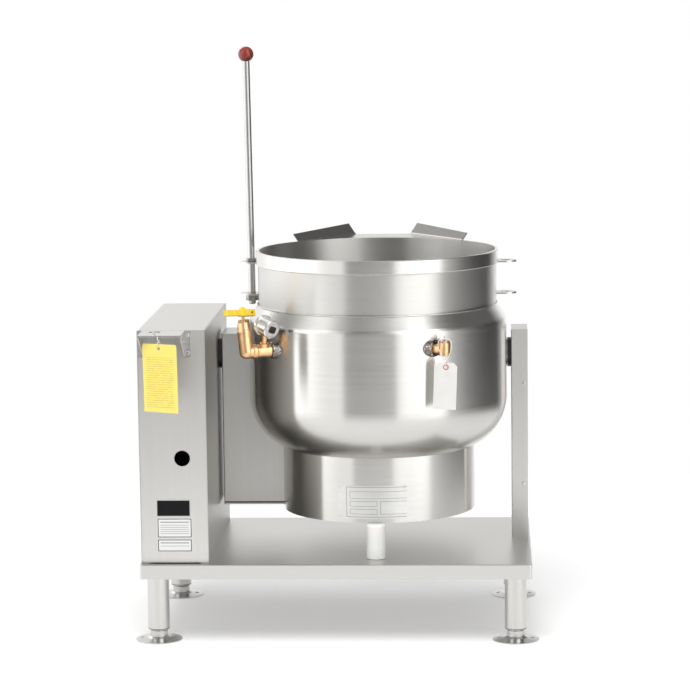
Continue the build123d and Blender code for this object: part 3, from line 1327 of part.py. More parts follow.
def yellow_string():
    """String from the tag over the shelf's lip, down through the hole and back under the shelf."""
    x, y, z = yellow_eye
    hole_x = console_left + SHELF_LEFT + SHELF_HOLE_X
    hole_y = console_rear - SHELF_HOLE_REACH
    knot = z + loop_base + 2 * YELLOW_LOOP + strand
    side_x, side_y = strand * cos(radians(YELLOW_TURN)), strand * sin(radians(YELLOW_TURN))
    rest = STRING_RADIUS + FACE_GAP
    points = [
        (x - side_x, y - side_y, knot),
        (x - 2.5, lip_y - rest, shelf_top + rest),
        ((x + hole_x) / 2 - 2.0, (lip_y + hole_y) / 2 - 2.0, shelf_top + rest + 0.4),
        (hole_x, hole_y - SHELF_HOLE_RADIUS + rest, shelf_top + rest),
        (hole_x + 0.3, hole_y - SHELF_HOLE_RADIUS + rest, shelf_top - SHEET - 2.0),
        ((x + hole_x) / 2 + 2.0, (lip_y + hole_y) / 2 - 3.0, shelf_top - 8.5),
        (x + side_x, y + side_y, knot),
    ]
    return cord(points, {1: SHEET + rest, 3: 1.3, 4: 2.4})


def white_string():
    """String from the tag up both sides of the safety valve and through its pull ring."""
    x, y, z = white_eye
    knot = z + loop_base + 2 * WHITE_LOOP
    apex = pull_ring_z - PULL_RING_RADIUS + PULL_WIRE_RADIUS + STRING_RADIUS + FACE_GAP
    points = [
        (x - strand, y, knot),
        (safety_x - 9.5, safety_y - 13.0, safety_z - 4.0),
        (safety_x - 12.0, safety_y - 9.5, safety_z + 12.0),
        (safety_x - 9.5, safety_y - 5.5, apex + 0.4),
        (safety_x, safety_y, apex),
        (safety_x + 10.0, safety_y - 5.0, apex + 0.4),
        (safety_x + 13.5, safety_y - 8.5, safety_z + 12.0),
        (safety_x + 12.5, safety_y - 12.0, safety_z - 4.0),
        (x + strand, y, knot),
    ]
    return cord(points, {4: PULL_WIRE_RADIUS + STRING_RADIUS + FACE_GAP})


save("base_tray", base_tray())
save("leg_frame", *leg_frame())
save("leg_tubes", *leg_tubes(), *leg_inserts())
foot_names = {-1: "left", 1: "right"}
for side in (-1, 1):
    for end, y in zip(("rear", "front"), leg_ys):
        save(f"foot_{end}_{foot_names[side]}", foot(side, y))
save("bumper", bumper())
save("console_wrap", console_wrap())
save("rear_panel", rear_panel())
save("control_panel", control_panel())
save("shelf_bracket", shelf_bracket())
save("subpanel", subpanel())
save("contactor", contactor(), terminal_block())
save("thermostat_body", thermostat_body())
save("thermostat_dial", thermostat_dial())
save("pilot_lamps", *pilot_lamps())
save("switch_body", switch_body())
save("switch_rocker", switch_rocker())
save("panel_plates", rating_plate(), *bare_labels())
left_bush = bush(console_right, 1, THIN_SHEET + BEARING_PLATE + 2)
right_bush = bush(post_left, -1, SHEET + BEARING_BLOCK - 2)
save("bushes", left_bush, right_bush)
save("left_bearing_plate", left_bearing_plate())
save("trunnion_collar", trunnion_collar())
save("post_channel", post_channel())
save("post_cover", post_cover(), post_cap())
save("screws", bumper_screw(), *shelf_screws(), *post_screws())
save("right_bearing_block", right_bearing_block())
save("inner_bowl", inner_bowl())
save("rim_band", rim_band())
save("jacket_shell", jacket_shell())
save("jacket_dish", jacket_dish())
save("heaters", *[heater(x) for x in heater_xs])
save("skirt", skirt())
save("skirt_cover", skirt_cover())
save("trunnion_box", trunnion_box())
save("trunnion_box_cap", trunnion_box_cap())
save("left_trunnion", left_trunnion())
save("right_trunnion", right_trunnion())
save("pour_lip", pour_lip())
save("handle_brackets", *handle_brackets())
save("handle_rod", handle_rod())
save("handle_ball", handle_ball())
save("handle_nuts", *handle_nuts())
save("port_couplings", *couplings())
save("brass_fittings", gauge_tee(), gauge_stem(), vent_elbow())
save("gauge_case", gauge_case(), gauge_plug())
save("gauge_dial", gauge_dial())
save("gauge_pointer", gauge_pointer())
save("gauge_glass", gauge_glass())
save("vent_valve", vent_valve())
save("vent_lever", vent_lever())
save("safety_valve", safety_valve())
save("safety_pull", safety_pull())
save("skirt_plate", skirt_plate())
save("yellow_tag", yellow_tag())
save("yellow_tag_loop", tag_loop(yellow_eye, YELLOW_LOOP, YELLOW_TURN))
save("yellow_string", yellow_string())
save("white_tag", white_tag())
save("white_tag_loop", tag_loop(white_eye, WHITE_LOOP, WHITE_TURN))
save("white_string", white_string())
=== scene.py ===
# %% [markdown]
# A tilting steam kettle of the kind that stands on a counter in a large kitchen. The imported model
# already holds every sheet, casting and fitting in its real size. Blender is used here for what a
# drawing can't hold: the grain of brushed and spun steel, cast brass, string, card and the print
# on the dials. The model is loaded first, because everything else is placed by its measurements.

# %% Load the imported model
import math

import bmesh
import bpy
from mathutils import Matrix, Vector


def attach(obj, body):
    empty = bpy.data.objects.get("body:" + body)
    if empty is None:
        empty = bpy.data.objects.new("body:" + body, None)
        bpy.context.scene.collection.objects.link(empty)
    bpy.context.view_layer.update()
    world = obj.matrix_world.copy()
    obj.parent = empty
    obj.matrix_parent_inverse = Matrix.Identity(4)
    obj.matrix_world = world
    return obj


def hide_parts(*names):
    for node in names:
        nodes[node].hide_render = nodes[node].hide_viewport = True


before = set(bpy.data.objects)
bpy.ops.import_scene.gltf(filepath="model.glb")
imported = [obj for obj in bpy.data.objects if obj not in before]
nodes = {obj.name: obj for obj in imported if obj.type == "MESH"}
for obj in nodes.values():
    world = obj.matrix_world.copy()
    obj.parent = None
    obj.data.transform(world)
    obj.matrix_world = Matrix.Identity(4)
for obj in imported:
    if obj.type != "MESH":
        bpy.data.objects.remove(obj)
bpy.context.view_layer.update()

# %% [markdown]
# The camera stands behind the machine, a little above the rim and far away, which keeps the upright
# edges nearly parallel. A lens is easier to reason about as a picture width over a distance, so the
# focal length in millimetres is worked out from the width of the frame.

# %% Camera
CAMERA_AT = Vector((0.29029, -5.27105, 1.24406))
CAMERA_YAW, CAMERA_PITCH, CAMERA_ROLL = -0.053, 0.1335, -0.0121
SENSOR_WIDTH = 36.0
LENS_PER_WIDTH = 3.9593


def make_camera():
    """Camera that looks along +Y, turned by the three angles."""
    level = math.cos(CAMERA_PITCH)
    ahead = Vector((
        math.sin(CAMERA_YAW) * level, math.cos(CAMERA_YAW) * level, -math.sin(CAMERA_PITCH),
    ))
    right = ahead.cross(Vector((0, 0, 1))).normalized()
    up = right.cross(ahead)
    turned_right = math.cos(CAMERA_ROLL) * right + math.sin(CAMERA_ROLL) * up
    turned_up = turned_right.cross(ahead)
    data = bpy.data.cameras.new("camera")
    data.sensor_width = SENSOR_WIDTH
    data.lens = SENSOR_WIDTH * LENS_PER_WIDTH
    data.clip_start, data.clip_end = 0.1, 60.0
    camera = bpy.data.objects.new("camera", data)
    bpy.context.scene.collection.objects.link(camera)
    turn = Matrix((turned_right, turned_up, -ahead)).transposed().to_4x4()
    camera.matrix_world = Matrix.Translation(CAMERA_AT) @ turn
    bpy.context.scene.camera = camera
    return camera


camera = make_camera()
print("lens", round(camera.data.lens, 1), "mm")

# %% [markdown]
# Two paper tags hang on short lengths of cotton string. A string is one smooth curve with a round
# section, so a NURBS spline with a handful of listed control points is the natural choice. It
# bends over the lip of the shelf and through the ring of the safety valve like the real one. The
# radius is given at each point, and the bevel of 1 only multiplies it.

# %% Strings
STRING_DIAMETER = 0.0016


def string(name, route, node, body):
    """A free length of string along its route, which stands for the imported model's own string."""
    curve = bpy.data.curves.new(name, "CURVE")
    curve.dimensions = "3D"
    curve.bevel_depth = 1.0
    curve.bevel_resolution = 3
    curve.resolution_u = 10
    curve.use_fill_caps = True
    spline = curve.splines.new("NURBS")
    spline.points.add(len(route) - 1)
    for point, place in zip(spline.points, route):
        point.co = (*place, 1.0)
        point.radius = STRING_DIAMETER / 2
    spline.order_u = 3
    spline.use_endpoint_u = True
    piece = bpy.data.objects.new(name, curve)
    bpy.context.scene.collection.objects.link(piece)
    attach(piece, body)
    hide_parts(node)
    return piece


shelf_route = [
    (-0.31766, -0.31508, 0.5866),
    (-0.3185, -0.3141, 0.5970),
    (-0.3250, -0.2885, 0.5974),
    (-0.3300, -0.2699, 0.5970),
    (-0.3297, -0.2699, 0.5919),
    (-0.3210, -0.2895, 0.5874),
    (-0.31434, -0.31692, 0.5866),
]
valve_route = [
    (0.20912, -0.24841, 0.5383),
    (0.19862, -0.24681, 0.5543),
    (0.19612, -0.24331, 0.5703),
    (0.19862, -0.23931, 0.5765),
    (0.20812, -0.23381, 0.5761),
    (0.21812, -0.23881, 0.5765),
    (0.22162, -0.24231, 0.5703),
    (0.22062, -0.24581, 0.5543),
    (0.21292, -0.24841, 0.5383),
]
shelf_string = string(
    "shelf_string", shelf_route, "yellow_string", "stand",
)
valve_string = string(
    "valve_string", valve_route, "white_string", "safety_pull",
)
print("strings", shelf_string.name, valve_string.name)

# %% [markdown]
# A material is a small sum worked out at every point of a surface. Written with node boxes that sum
# is hard to read, so one class wraps a socket and lets it be added and multiplied like a number.
# A second class holds the node tree and makes every other kind of node.

# %% Shader sums
class Wire:
    """One output of a shader node, for use in plain expressions."""

    def __init__(self, tree, socket):
        self.tree, self.socket = tree, socket

    def sum(self, operation, first, second):
        node = self.tree.nodes.new("ShaderNodeMath")
        node.operation = operation
        for socket, value in zip(node.inputs, (first, second)):
            if isinstance(value, Wire):
                self.tree.links.new(value.socket, socket)
            else:
                socket.default_value = value
        return Wire(self.tree, node.outputs[0])

    def __add__(self, other):
        return self.sum("ADD", self, other)

    def __radd__(self, other):
        return self.sum("ADD", other, self)

    def __sub__(self, other):
        return self.sum("SUBTRACT", self, other)

    def __rsub__(self, other):
        return self.sum("SUBTRACT", other, self)

    def __mul__(self, other):
        return self.sum("MULTIPLY", self, other)

    def __rmul__(self, other):
        return self.sum("MULTIPLY", other, self)

    def __truediv__(self, other):
        return self.sum("DIVIDE", self, other)

    def __pow__(self, other):
        return self.sum("POWER", self, other)


class Board:
    """A node tree that nodes are added to."""

    def __init__(self, tree):
        self.tree = tree

    def node(self, kind, settings, sockets, take=0):
        """Any node: its type, its settings, and the values or wires of its sockets."""
        made = self.tree.nodes.new(kind)
        for name, value in settings.items():
            if name == "stops":
                ramp = made.color_ramp
                for index, (place, grey) in enumerate(value):
                    stop = ramp.elements[index] if index < 2 else ramp.elements.new(place)
                    stop.position = place
                    stop.color = (grey, grey, grey, 1.0)
            else:
                setattr(made, name, value)
        for name, value in sockets.items():
            if isinstance(value, Wire):
                self.tree.links.new(value.socket, made.inputs[name])
            else:
                made.inputs[name].default_value = value
        return Wire(self.tree, made.outputs[take])

    def join(self, x, y, z):
        """Three numbers as one vector."""
        return self.node("ShaderNodeCombineXYZ", {}, {"X": x, "Y": y, "Z": z})

    def split(self, vector):
        """A vector as its three numbers."""
        made = self.tree.nodes.new("ShaderNodeSeparateXYZ")
        self.tree.links.new(vector.socket, made.inputs[0])
        return [Wire(self.tree, made.outputs[axis]) for axis in "XYZ"]

    def noise(self, vector, scale, detail=2.0, rough=0.5):
        """Soft noise from 0 to 1."""
        values = {"Vector": vector, "Scale": scale, "Detail": detail, "Roughness": rough}
        return self.node("ShaderNodeTexNoise", {}, values, "Fac")

    def ease(self, value, low, high):
        """0 below low, 1 above high, and a soft curve between them."""
        settings = {"interpolation_type": "SMOOTHSTEP"}
        values = {"Value": value, "From Min": low, "From Max": high}
        return self.node("ShaderNodeMapRange", settings, values, "Result")

    def maths(self, operation, first, second=0.0):
        """One of the Math node's operations that has no sign in Python."""
        return self.node("ShaderNodeMath", {"operation": operation}, {0: first, 1: second})

    def about(self, middle, *noises):
        """A value near its middle, moved by noises that each have their own reach."""
        for noise, reach in noises:
            middle = middle + (noise - 0.5) * reach
        return middle

    def blend(self, share, first, second):
        """One colour turning into another."""
        return self.node("ShaderNodeMix", {"data_type": "RGBA"}, {0: share, 6: first, 7: second}, 2)

    def tones(self, share, colour, darker, lighter):
        """One colour that turns from a darker into a lighter shade of itself."""
        return self.blend(share, shade(colour, darker), shade(colour, lighter))


class Finish(Board):
    """A material under construction, with its fixed values set on the shader itself."""

    def __init__(self, name, **fixed):
        self.material = bpy.data.materials.new(name)
        self.material.use_nodes = True
        super().__init__(self.material.node_tree)
        self.shader = self.tree.nodes["Principled BSDF"]
        for socket, value in fixed.items():
            self.shader.inputs[socket.replace("_", " ")].default_value = value

    def spot(self):
        """The point's own place on the object, in metres."""
        return self.node("ShaderNodeTexCoord", {}, {}, "Object")

    def feed(self, socket, wire):
        self.tree.links.new(wire.socket, self.shader.inputs[socket])

    def relief(self, height, depth, strength=1.0):
        """Bumps that stand depth metres proud."""
        values = {"Height": height, "Distance": depth, "Strength": strength}
        self.feed("Normal", self.node("ShaderNodeBump", {}, values, "Normal"))


def shade(colour, factor=1.0):
    """A colour as four numbers."""
    return (*[value * factor for value in colour], 1.0)


print("shader helpers ready")

# %% [markdown]
# The stand, console and post are sheet steel with a satin grain that an abrasive belt leaves: fine
# parallel scratches, each a few centimetres long. Noise squeezed hard across the grain and hardly
# at all along it gives that look. The grain runs along each sheet's own length. Sheets that face
# other parts of a room look lighter or darker, so each has its own polish and a base tone with
# that light or shade painted in. The console's top is painted lighter still, as the lit face.

# %% Brushed sheet steel
STEEL = (0.60, 0.588, 0.565)
SCRATCH_ALONG, SCRATCH_ACROSS = 22.0, 1900.0
BAND_ALONG, BAND_ACROSS = 2.5, 160.0
CONSOLE_TOP = 0.596
TOP_PAINTED_LIGHTER = 1.3


def brushed(name, along, colour=STEEL, rough=0.27, depth=0.000003, lit_top=None):
    """Satin sheet with its scratches along one axis, and painted light on its top above a height."""
    finish = Finish(name, Metallic=1.0)
    parts = dict(zip("XYZ", finish.split(finish.spot())))

    def squeezed(with_grain, over_grain):
        scales = [with_grain if axis == along else over_grain for axis in "XYZ"]
        return finish.join(*[parts[axis] * scale for axis, scale in zip("XYZ", scales)])

    scratch = finish.noise(squeezed(SCRATCH_ALONG, SCRATCH_ACROSS), 1.0, 3.0, 0.6)
    band = finish.noise(squeezed(BAND_ALONG, BAND_ACROSS), 1.0, 2.0, 0.5)
    cloud = finish.noise(finish.spot(), 7.0, 3.0, 0.55)
    finish.feed("Roughness", finish.about(rough, (scratch, 0.06), (band, 0.03), (cloud, 0.04)))
    tone = finish.ease(scratch * 0.45 + band * 0.35 + cloud * 0.2, 0.25, 0.75)
    sheet = finish.tones(tone, colour, 0.97, 1.03)
    # Painted light: above the given height the colour is made lighter, for the light on the top
    # face.
    if lit_top:
        painted_top_light = finish.ease(parts["Z"], lit_top - 0.0006, lit_top - 0.0003)
        sheet = finish.blend(painted_top_light, sheet, shade(colour, TOP_PAINTED_LIGHTER))
    finish.feed("Base Color", sheet)
    finish.relief(scratch, depth, 0.4)
    return finish.material


sheet_along_x = brushed("brushed_along_x", "X")
sheet_along_y = brushed("brushed_along_y", "Y")
sheet_upright = brushed("brushed_upright", "Z")
# Copies of one steel: the box and lip are painted darker as shade, the tray, panel and post lighter
# as light.
wrap_sheet = brushed("wrap_sheet", "Z", (0.58, 0.568, 0.546), 0.40, 0.0000006, CONSOLE_TOP)
tray_sheet = brushed("tray_sheet", "X", (0.64, 0.628, 0.605), 0.33, 0.000002)
panel_sheet = brushed("panel_sheet", "Z", (0.70, 0.686, 0.66), 0.38)
post_sheet = brushed("post_sheet", "Z", (0.66, 0.648, 0.625), 0.34)
box_sheet = brushed("box_sheet", "Z", (0.47, 0.46, 0.44), 0.30)
lip_sheet = brushed("lip_sheet", "Y", (0.46, 0.45, 0.43), 0.22)
print("brushed sheet", sheet_along_x.name, sheet_along_y.name, sheet_upright.name)

# %% [markdown]
# The trunnion box is closed from below by a folded cap. The narrow gap between the two lies in
# shade, so a dark band of painted shade runs along the top of the cap's edge, set by its height.

# %% Painted shade in the gap over the cap of the trunnion box
CAP_TOP = 0.225
GAP_SHADE_HEIGHT, GAP_SHADE_SOFTNESS = 0.0030, 0.0004


def cap_sheet():
    """Folded cap under the trunnion box, with painted shade along the gap where the two meet."""
    finish = Finish("cap_sheet", Metallic=1.0)
    height = finish.split(finish.spot())[2]
    cloud = finish.noise(finish.spot(), 90.0, 3.0, 0.6)
    painted_gap_shade = finish.ease(height, CAP_TOP - GAP_SHADE_HEIGHT, CAP_TOP - GAP_SHADE_HEIGHT + GAP_SHADE_SOFTNESS)
    # Painted shade: the top of the cap goes near black where the gap between box and cap is in
    # shade.
    finish.feed("Base Color", finish.blend(painted_gap_shade, (0.50, 0.49, 0.47, 1), (0.035, 0.034, 0.033, 1)))
    finish.feed("Roughness", finish.about(0.30, (cloud, 0.1)) + painted_gap_shade * 0.25)
    return finish.material


box_cap = cap_sheet()
print("seam on", box_cap.name)

# %% [markdown]
# The bowl, jacket and skirt are spun or rolled and then polished while they turn, so their grain
# goes round the kettle. The pattern is therefore laid out in height and radius, with only a slow
# change along the turn. Steel that was polished on a wheel also reflects a little unevenly from
# ring to ring, and it stretches a reflection across the grain, which the anisotropy does here.

# %% Spun and polished steel
KETTLE_X = 0.075
GRAIN_UPRIGHT = 0.25
ROUND_SCRATCH, RINGS_OF_SCRATCH = 9.0, 2100.0
ROUND_BAND, RINGS_OF_BAND = 1.4, 150.0


def spun(name, colour=STEEL, rough=0.225, depth=0.00001, round_grain=0.85):
    """Satin finish with its scratches round the kettle's upright axis."""
    finish = Finish(
        name, Metallic=1.0, Anisotropic=round_grain, Anisotropic_Rotation=GRAIN_UPRIGHT,
    )
    x, y, z = finish.split(finish.spot())
    out = x - KETTLE_X
    radius = (out * out + y * y) ** 0.5 + 0.0001
    ring = z + radius * 0.35

    def wound(round_scale, ring_scale):
        return finish.join(out / radius * round_scale, y / radius * round_scale, ring * ring_scale)

    scratch = finish.noise(wound(ROUND_SCRATCH, RINGS_OF_SCRATCH), 1.0, 3.0, 0.6)
    band = finish.noise(wound(ROUND_BAND, RINGS_OF_BAND), 1.0, 2.0, 0.5)
    cloud = finish.noise(finish.spot(), 5.0, 3.0, 0.55)
    finish.feed("Roughness", finish.about(rough, (scratch, 0.10), (band, 0.05), (cloud, 0.05)))
    tone = finish.ease(scratch * 0.45 + band * 0.35 + cloud * 0.2, 0.25, 0.75)
    finish.feed("Base Color", finish.tones(tone, colour, 0.955, 1.035))
    finish.relief(scratch * 0.4 + band * 0.6, depth, 0.3)
    return finish.material


kettle_spun = spun("kettle_spun")
bowl_polished = spun("bowl_polished", rough=0.36, round_grain=1.0)
print("spun steel", kettle_spun.name, bowl_polished.name)

# %% [markdown]
# Rods, screws, collars and zinc-plated parts inside the console are plainer metals. They share one
# recipe with a soft cloud in the roughness, and differ in colour and polish.

# %% Plain metals
SPECK_FINER = 9.0


def metal(name, colour, rough, spread=0.08, scale=60.0, depth=0.0):
    """Evenly worked metal with a soft variation in its polish."""
    finish = Finish(name, Metallic=1.0)
    cloud = finish.noise(finish.spot(), scale, 4.0, 0.6)
    speck = finish.noise(finish.spot(), scale * SPECK_FINER, 2.0, 0.6)
    finish.feed("Roughness", finish.about(rough, (cloud, spread), (speck, spread)))
    finish.feed("Base Color", finish.tones(finish.ease(cloud, 0.3, 0.7), colour, 0.94, 1.04))
    if depth:
        finish.relief(speck * 0.6 + cloud * 0.4, depth, 0.6)
    return finish.material


bright_steel = metal("bright_steel", (0.66, 0.655, 0.645), 0.16)
rod_steel = metal("rod_steel", (0.46, 0.455, 0.445), 0.20, 0.03, 30.0)
nut_steel = metal("nut_steel", (0.34, 0.335, 0.325), 0.20, 0.10, 90.0)
turned_steel = metal("turned_steel", (0.58, 0.575, 0.565), 0.25)
zinc_plate = metal("zinc_plate", (0.52, 0.54, 0.56), 0.38, 0.14, 40.0)
element_steel = metal("element_steel", (0.22, 0.205, 0.19), 0.42, 0.16, 90.0, 0.00006)
print("plain metals", bright_steel.name, rod_steel.name, turned_steel.name, zinc_plate.name)

# %% [markdown]
# The two couplings in the jacket are dark, partly from old sealant and partly as painted shade.
# Their cut threads are too fine to see as threads, so a coarse noise with a hard edge paints in
# their glints as bright spots.

# %% Threaded couplings
def threaded_steel():
    """Dark steel, partly old sealant and partly painted shade, with painted glints of cut thread."""
    finish = Finish("coupling_steel", Metallic=1.0)
    painted_glints = finish.ease(finish.noise(finish.spot(), 420.0, 4.0, 0.75), 0.52, 0.60)
    cloud = finish.noise(finish.spot(), 120.0, 3.0, 0.6)
    # Painted light: a dark base for sealant and shade, with bright spots of painted glints.
    finish.feed("Base Color", finish.blend(painted_glints, (0.16, 0.135, 0.12, 1), (0.74, 0.71, 0.67, 1)))
    finish.feed("Roughness", finish.about(0.22, (cloud, 0.2)))
    finish.relief(cloud + painted_glints * 0.5, 0.00025, 0.7)
    return finish.material


coupling_steel = threaded_steel()
print("couplings", coupling_steel.name)

# %% [markdown]
# The fittings on the kettle are cast in sand and then turned where they seal, so most of the brass
# has a matt, slightly grainy skin with a warm orange cast.

# %% Cast brass
def cast_brass():
    """Sand-cast skin with a warm tone that deepens in the hollows of the grain."""
    finish = Finish("cast_brass", Metallic=1.0)
    skin = finish.noise(finish.spot(), 900.0, 3.0, 0.65)
    patch = finish.noise(finish.spot(), 110.0, 3.0, 0.5)
    finish.feed("Roughness", finish.about(0.33, (skin, 0.2), (patch, 0.2)))
    tone = finish.ease(patch * 0.65 + skin * 0.35, 0.32, 0.68)
    finish.feed("Base Color", finish.blend(tone, (0.74, 0.44, 0.21, 1), (0.88, 0.59, 0.33, 1)))
    finish.relief(skin, 0.00012, 0.6)
    return finish.material


brass = cast_brass()
print("brass", brass.name)

# %% [markdown]
# The gauge shows its back to the camera: a bright pressed case with a black rubber plug. Case and
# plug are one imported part, so the plug is told from the case by its place on the gauge's own axis,
# behind a plane.

# %% Gauge case
GAUGE_AT = Vector((-0.1255, -0.1884, 0.59476))
GAUGE_OUT = Vector((-0.65095, 0.72320, 0.23075))
GAUGE_UP = Vector((0.0984, -0.22101, 0.9703))
PLUG_BEHIND = -0.0162


def gauge_steel():
    """Bright pressed case with a black rubber plug in its back."""
    finish = Finish("gauge_steel")
    place = finish.split(finish.spot())
    x, y, z = [(part - at) * out for part, at, out in zip(place, GAUGE_AT, GAUGE_OUT)]
    plug = 1.0 - finish.ease(x + y + z, PLUG_BEHIND, PLUG_BEHIND + 0.0002)
    cloud = finish.noise(finish.spot(), 160.0, 3.0, 0.6)
    finish.feed("Base Color", finish.blend(plug, (0.74, 0.735, 0.72, 1), (0.012, 0.012, 0.012, 1)))
    finish.feed("Metallic", 1.0 - plug)
    finish.feed("Roughness", finish.about(0.24, (cloud, 0.16)) + plug * 0.35)
    return finish.material


gauge_metal = gauge_steel()
print("gauge case", gauge_metal.name)

# %% [markdown]
# Plastics: a glossy red ball on the handle, matt black bushes and knobs, a white stop under the
# skirt, lenses and the dipped yellow sleeve of the vent lever. Moulded plastic is never a flat
# colour. It has a fine orange-peel skin, and its polish varies where hands or tools have been.

# %% Plastics
CLOUD_COARSER = 14.0


def moulded(name, colour, rough, coat=0.0, scale=700.0, depth=0.00003, mottle=0.08, **fixed):
    """Moulded or dipped plastic with a fine uneven skin."""
    finish = Finish(name, Coat_Weight=coat, Coat_Roughness=0.06, **fixed)
    skin = finish.noise(finish.spot(), scale, 2.0, 0.5)
    cloud = finish.noise(finish.spot(), scale / CLOUD_COARSER, 3.0, 0.55)
    finish.feed("Roughness", finish.about(rough, (skin, 0.12), (cloud, 0.12)))
    tone = finish.ease(cloud, 0.3, 0.7)
    finish.feed("Base Color", finish.tones(tone, colour, 1 - mottle, 1 + mottle))
    finish.relief(skin, depth, 0.5)
    return finish.material


ball_red = moulded(
    "ball_red", (0.20, 0.020, 0.012), 0.16, coat=0.4, scale=300.0, depth=0.00001, mottle=0.12,
    Specular_IOR_Level=0.35,
)
bush_black = moulded("bush_black", (0.020, 0.019, 0.018), 0.42)
knob_black = moulded("knob_black", (0.028, 0.027, 0.026), 0.34)
stop_white = moulded(
    "stop_white", (0.88, 0.87, 0.85), 0.38, mottle=0.02, Subsurface_Weight=0.12,
)
sleeve_yellow = moulded("sleeve_yellow", (0.84, 0.60, 0.035), 0.36, mottle=0.07)
rocker_red = moulded("rocker_red", (0.55, 0.03, 0.02), 0.22, coat=0.3)
lens_amber = moulded("lens_amber", (0.80, 0.33, 0.04), 0.12, coat=0.8, mottle=0.12)
case_grey = moulded("case_grey", (0.10, 0.105, 0.11), 0.48)
print("plastics ready")

# %% [markdown]
# The tags are card. The larger one is yellow with close rows of faint broken lines inside a bare
# margin, the smaller one is bare white. Card has a soft fibre that shows as a slight mottle, and a
# little light comes through it. The rows follow the card's own face, which is turned and hangs a
# little askew, so they are worked out from the distance to the eye along and across that face.

# %% Card
YELLOW_EYE = Vector((-0.316, -0.316, 0.573))
YELLOW_TURN = math.radians(-29.0)
YELLOW_SLOPE = 0.03
ROW_PITCH = 0.0042
ROW_STRENGTH = 0.75
LOWEST_ROW, HIGHEST_ROW = (-0.112, -0.111), (-0.017, -0.016)
LEFT_MARGIN, RIGHT_MARGIN = (-0.030, -0.0285), (0.031, 0.0325)
DASH_ALONG, DASH_UP = 160.0, 900.0
PAINTED_BACK_SHADE = (0.50, 0.49, 0.46)


def rows_of_lines(finish, along, level, height):
    """1 on faint broken lines that fill the card inside its margin."""
    phase = finish.maths("FRACT", level / ROW_PITCH + 40.0)
    line = 1.0 - finish.ease(finish.maths("PINGPONG", phase, 0.5), 0.10, 0.22)
    inside = finish.ease(level, *LOWEST_ROW) * (1.0 - finish.ease(level, *HIGHEST_ROW))
    inside = inside * finish.ease(along, *LEFT_MARGIN)
    inside = inside * (1.0 - finish.ease(along, *RIGHT_MARGIN))
    dash = finish.noise(finish.join(along * DASH_ALONG, 0.0, height * DASH_UP), 1.0, 1.0)
    return line * inside * finish.ease(dash, 0.36, 0.46)


def card(name, colour, thin, line_colour=None):
    """Tag card. One with a line colour has rows of lines on its face and a back painted grey as
    shade.
    """
    finish = Finish(
        name, Specular_IOR_Level=0.25, Subsurface_Weight=thin, Subsurface_Scale=0.003,
        Subsurface_Radius=(1, 1, 1),
    )
    fibre = finish.noise(finish.spot(), 1500.0, 3.0, 0.6)
    cloud = finish.noise(finish.spot(), 45.0, 2.0, 0.5)
    paper = finish.tones(finish.ease(cloud * 0.6 + fibre * 0.4, 0.3, 0.7), colour, 0.96, 1.03)
    if line_colour:
        x, y, z = finish.split(finish.spot())
        right, behind = x - YELLOW_EYE.x, y - YELLOW_EYE.y
        along = right * math.cos(YELLOW_TURN) + behind * math.sin(YELLOW_TURN)
        depth = behind * math.cos(YELLOW_TURN) - right * math.sin(YELLOW_TURN)
        level = z - along * YELLOW_SLOPE - YELLOW_EYE.z
        rows = rows_of_lines(finish, along, level, z) * ROW_STRENGTH
        paper = finish.blend(rows, paper, shade(line_colour))
        # Painted shade: the back of the yellow card, which faces the panel, is coloured grey.
        paper = finish.blend(finish.ease(depth, 0.0, 0.0002), paper, shade(PAINTED_BACK_SHADE))
    finish.feed("Base Color", paper)
    finish.feed("Roughness", finish.about(0.55, (fibre, 0.2)))
    finish.relief(fibre, 0.00004, 0.5)
    return finish.material


yellow_card = card("yellow_card", (0.97, 0.80, 0.20), 0.2, (0.58, 0.42, 0.08))
white_card = card("white_card", (0.80, 0.79, 0.755), 0.7)
print("card", yellow_card.name, white_card.name)

# %% [markdown]
# The strings and the loops at the tags' eyes are twisted cotton. A sine wave along a slanting
# direction gives the twist, and a very fine noise the fluff.

# %% Cotton
TWIST_SLANT, TWISTS_PER_METRE = 0.6, 3600.0


def cotton():
    """Twisted cotton with soft light and dark strands."""
    finish = Finish("cotton_string", Specular_IOR_Level=0.2, Sheen_Weight=0.3)
    x, y, z = finish.split(finish.spot())
    twist = finish.maths("SINE", (x + y * TWIST_SLANT + z) * TWISTS_PER_METRE)
    fluff = finish.noise(finish.spot(), 3500.0, 2.0, 0.6)
    tone = finish.ease(twist * 0.25 + fluff * 0.75, 0.1, 0.8)
    finish.feed("Base Color", finish.blend(tone, (0.66, 0.64, 0.60, 1), (0.88, 0.87, 0.84, 1)))
    finish.feed("Roughness", finish.about(0.75, (fluff, 0.2)))
    finish.relief(twist * 0.5 + fluff, 0.00015, 0.7)
    return finish.material


string_cotton = cotton()
print("cotton", string_cotton.name)

# %% [markdown]
# The plates on the console are bare. The upper one is black with a bright line round its edge, and
# the two labels under it are white with a dark frame and a few plain rows. All three lie on the
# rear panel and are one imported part, so each line is a mask worked out from the distance to a
# plate's edge or to a height.

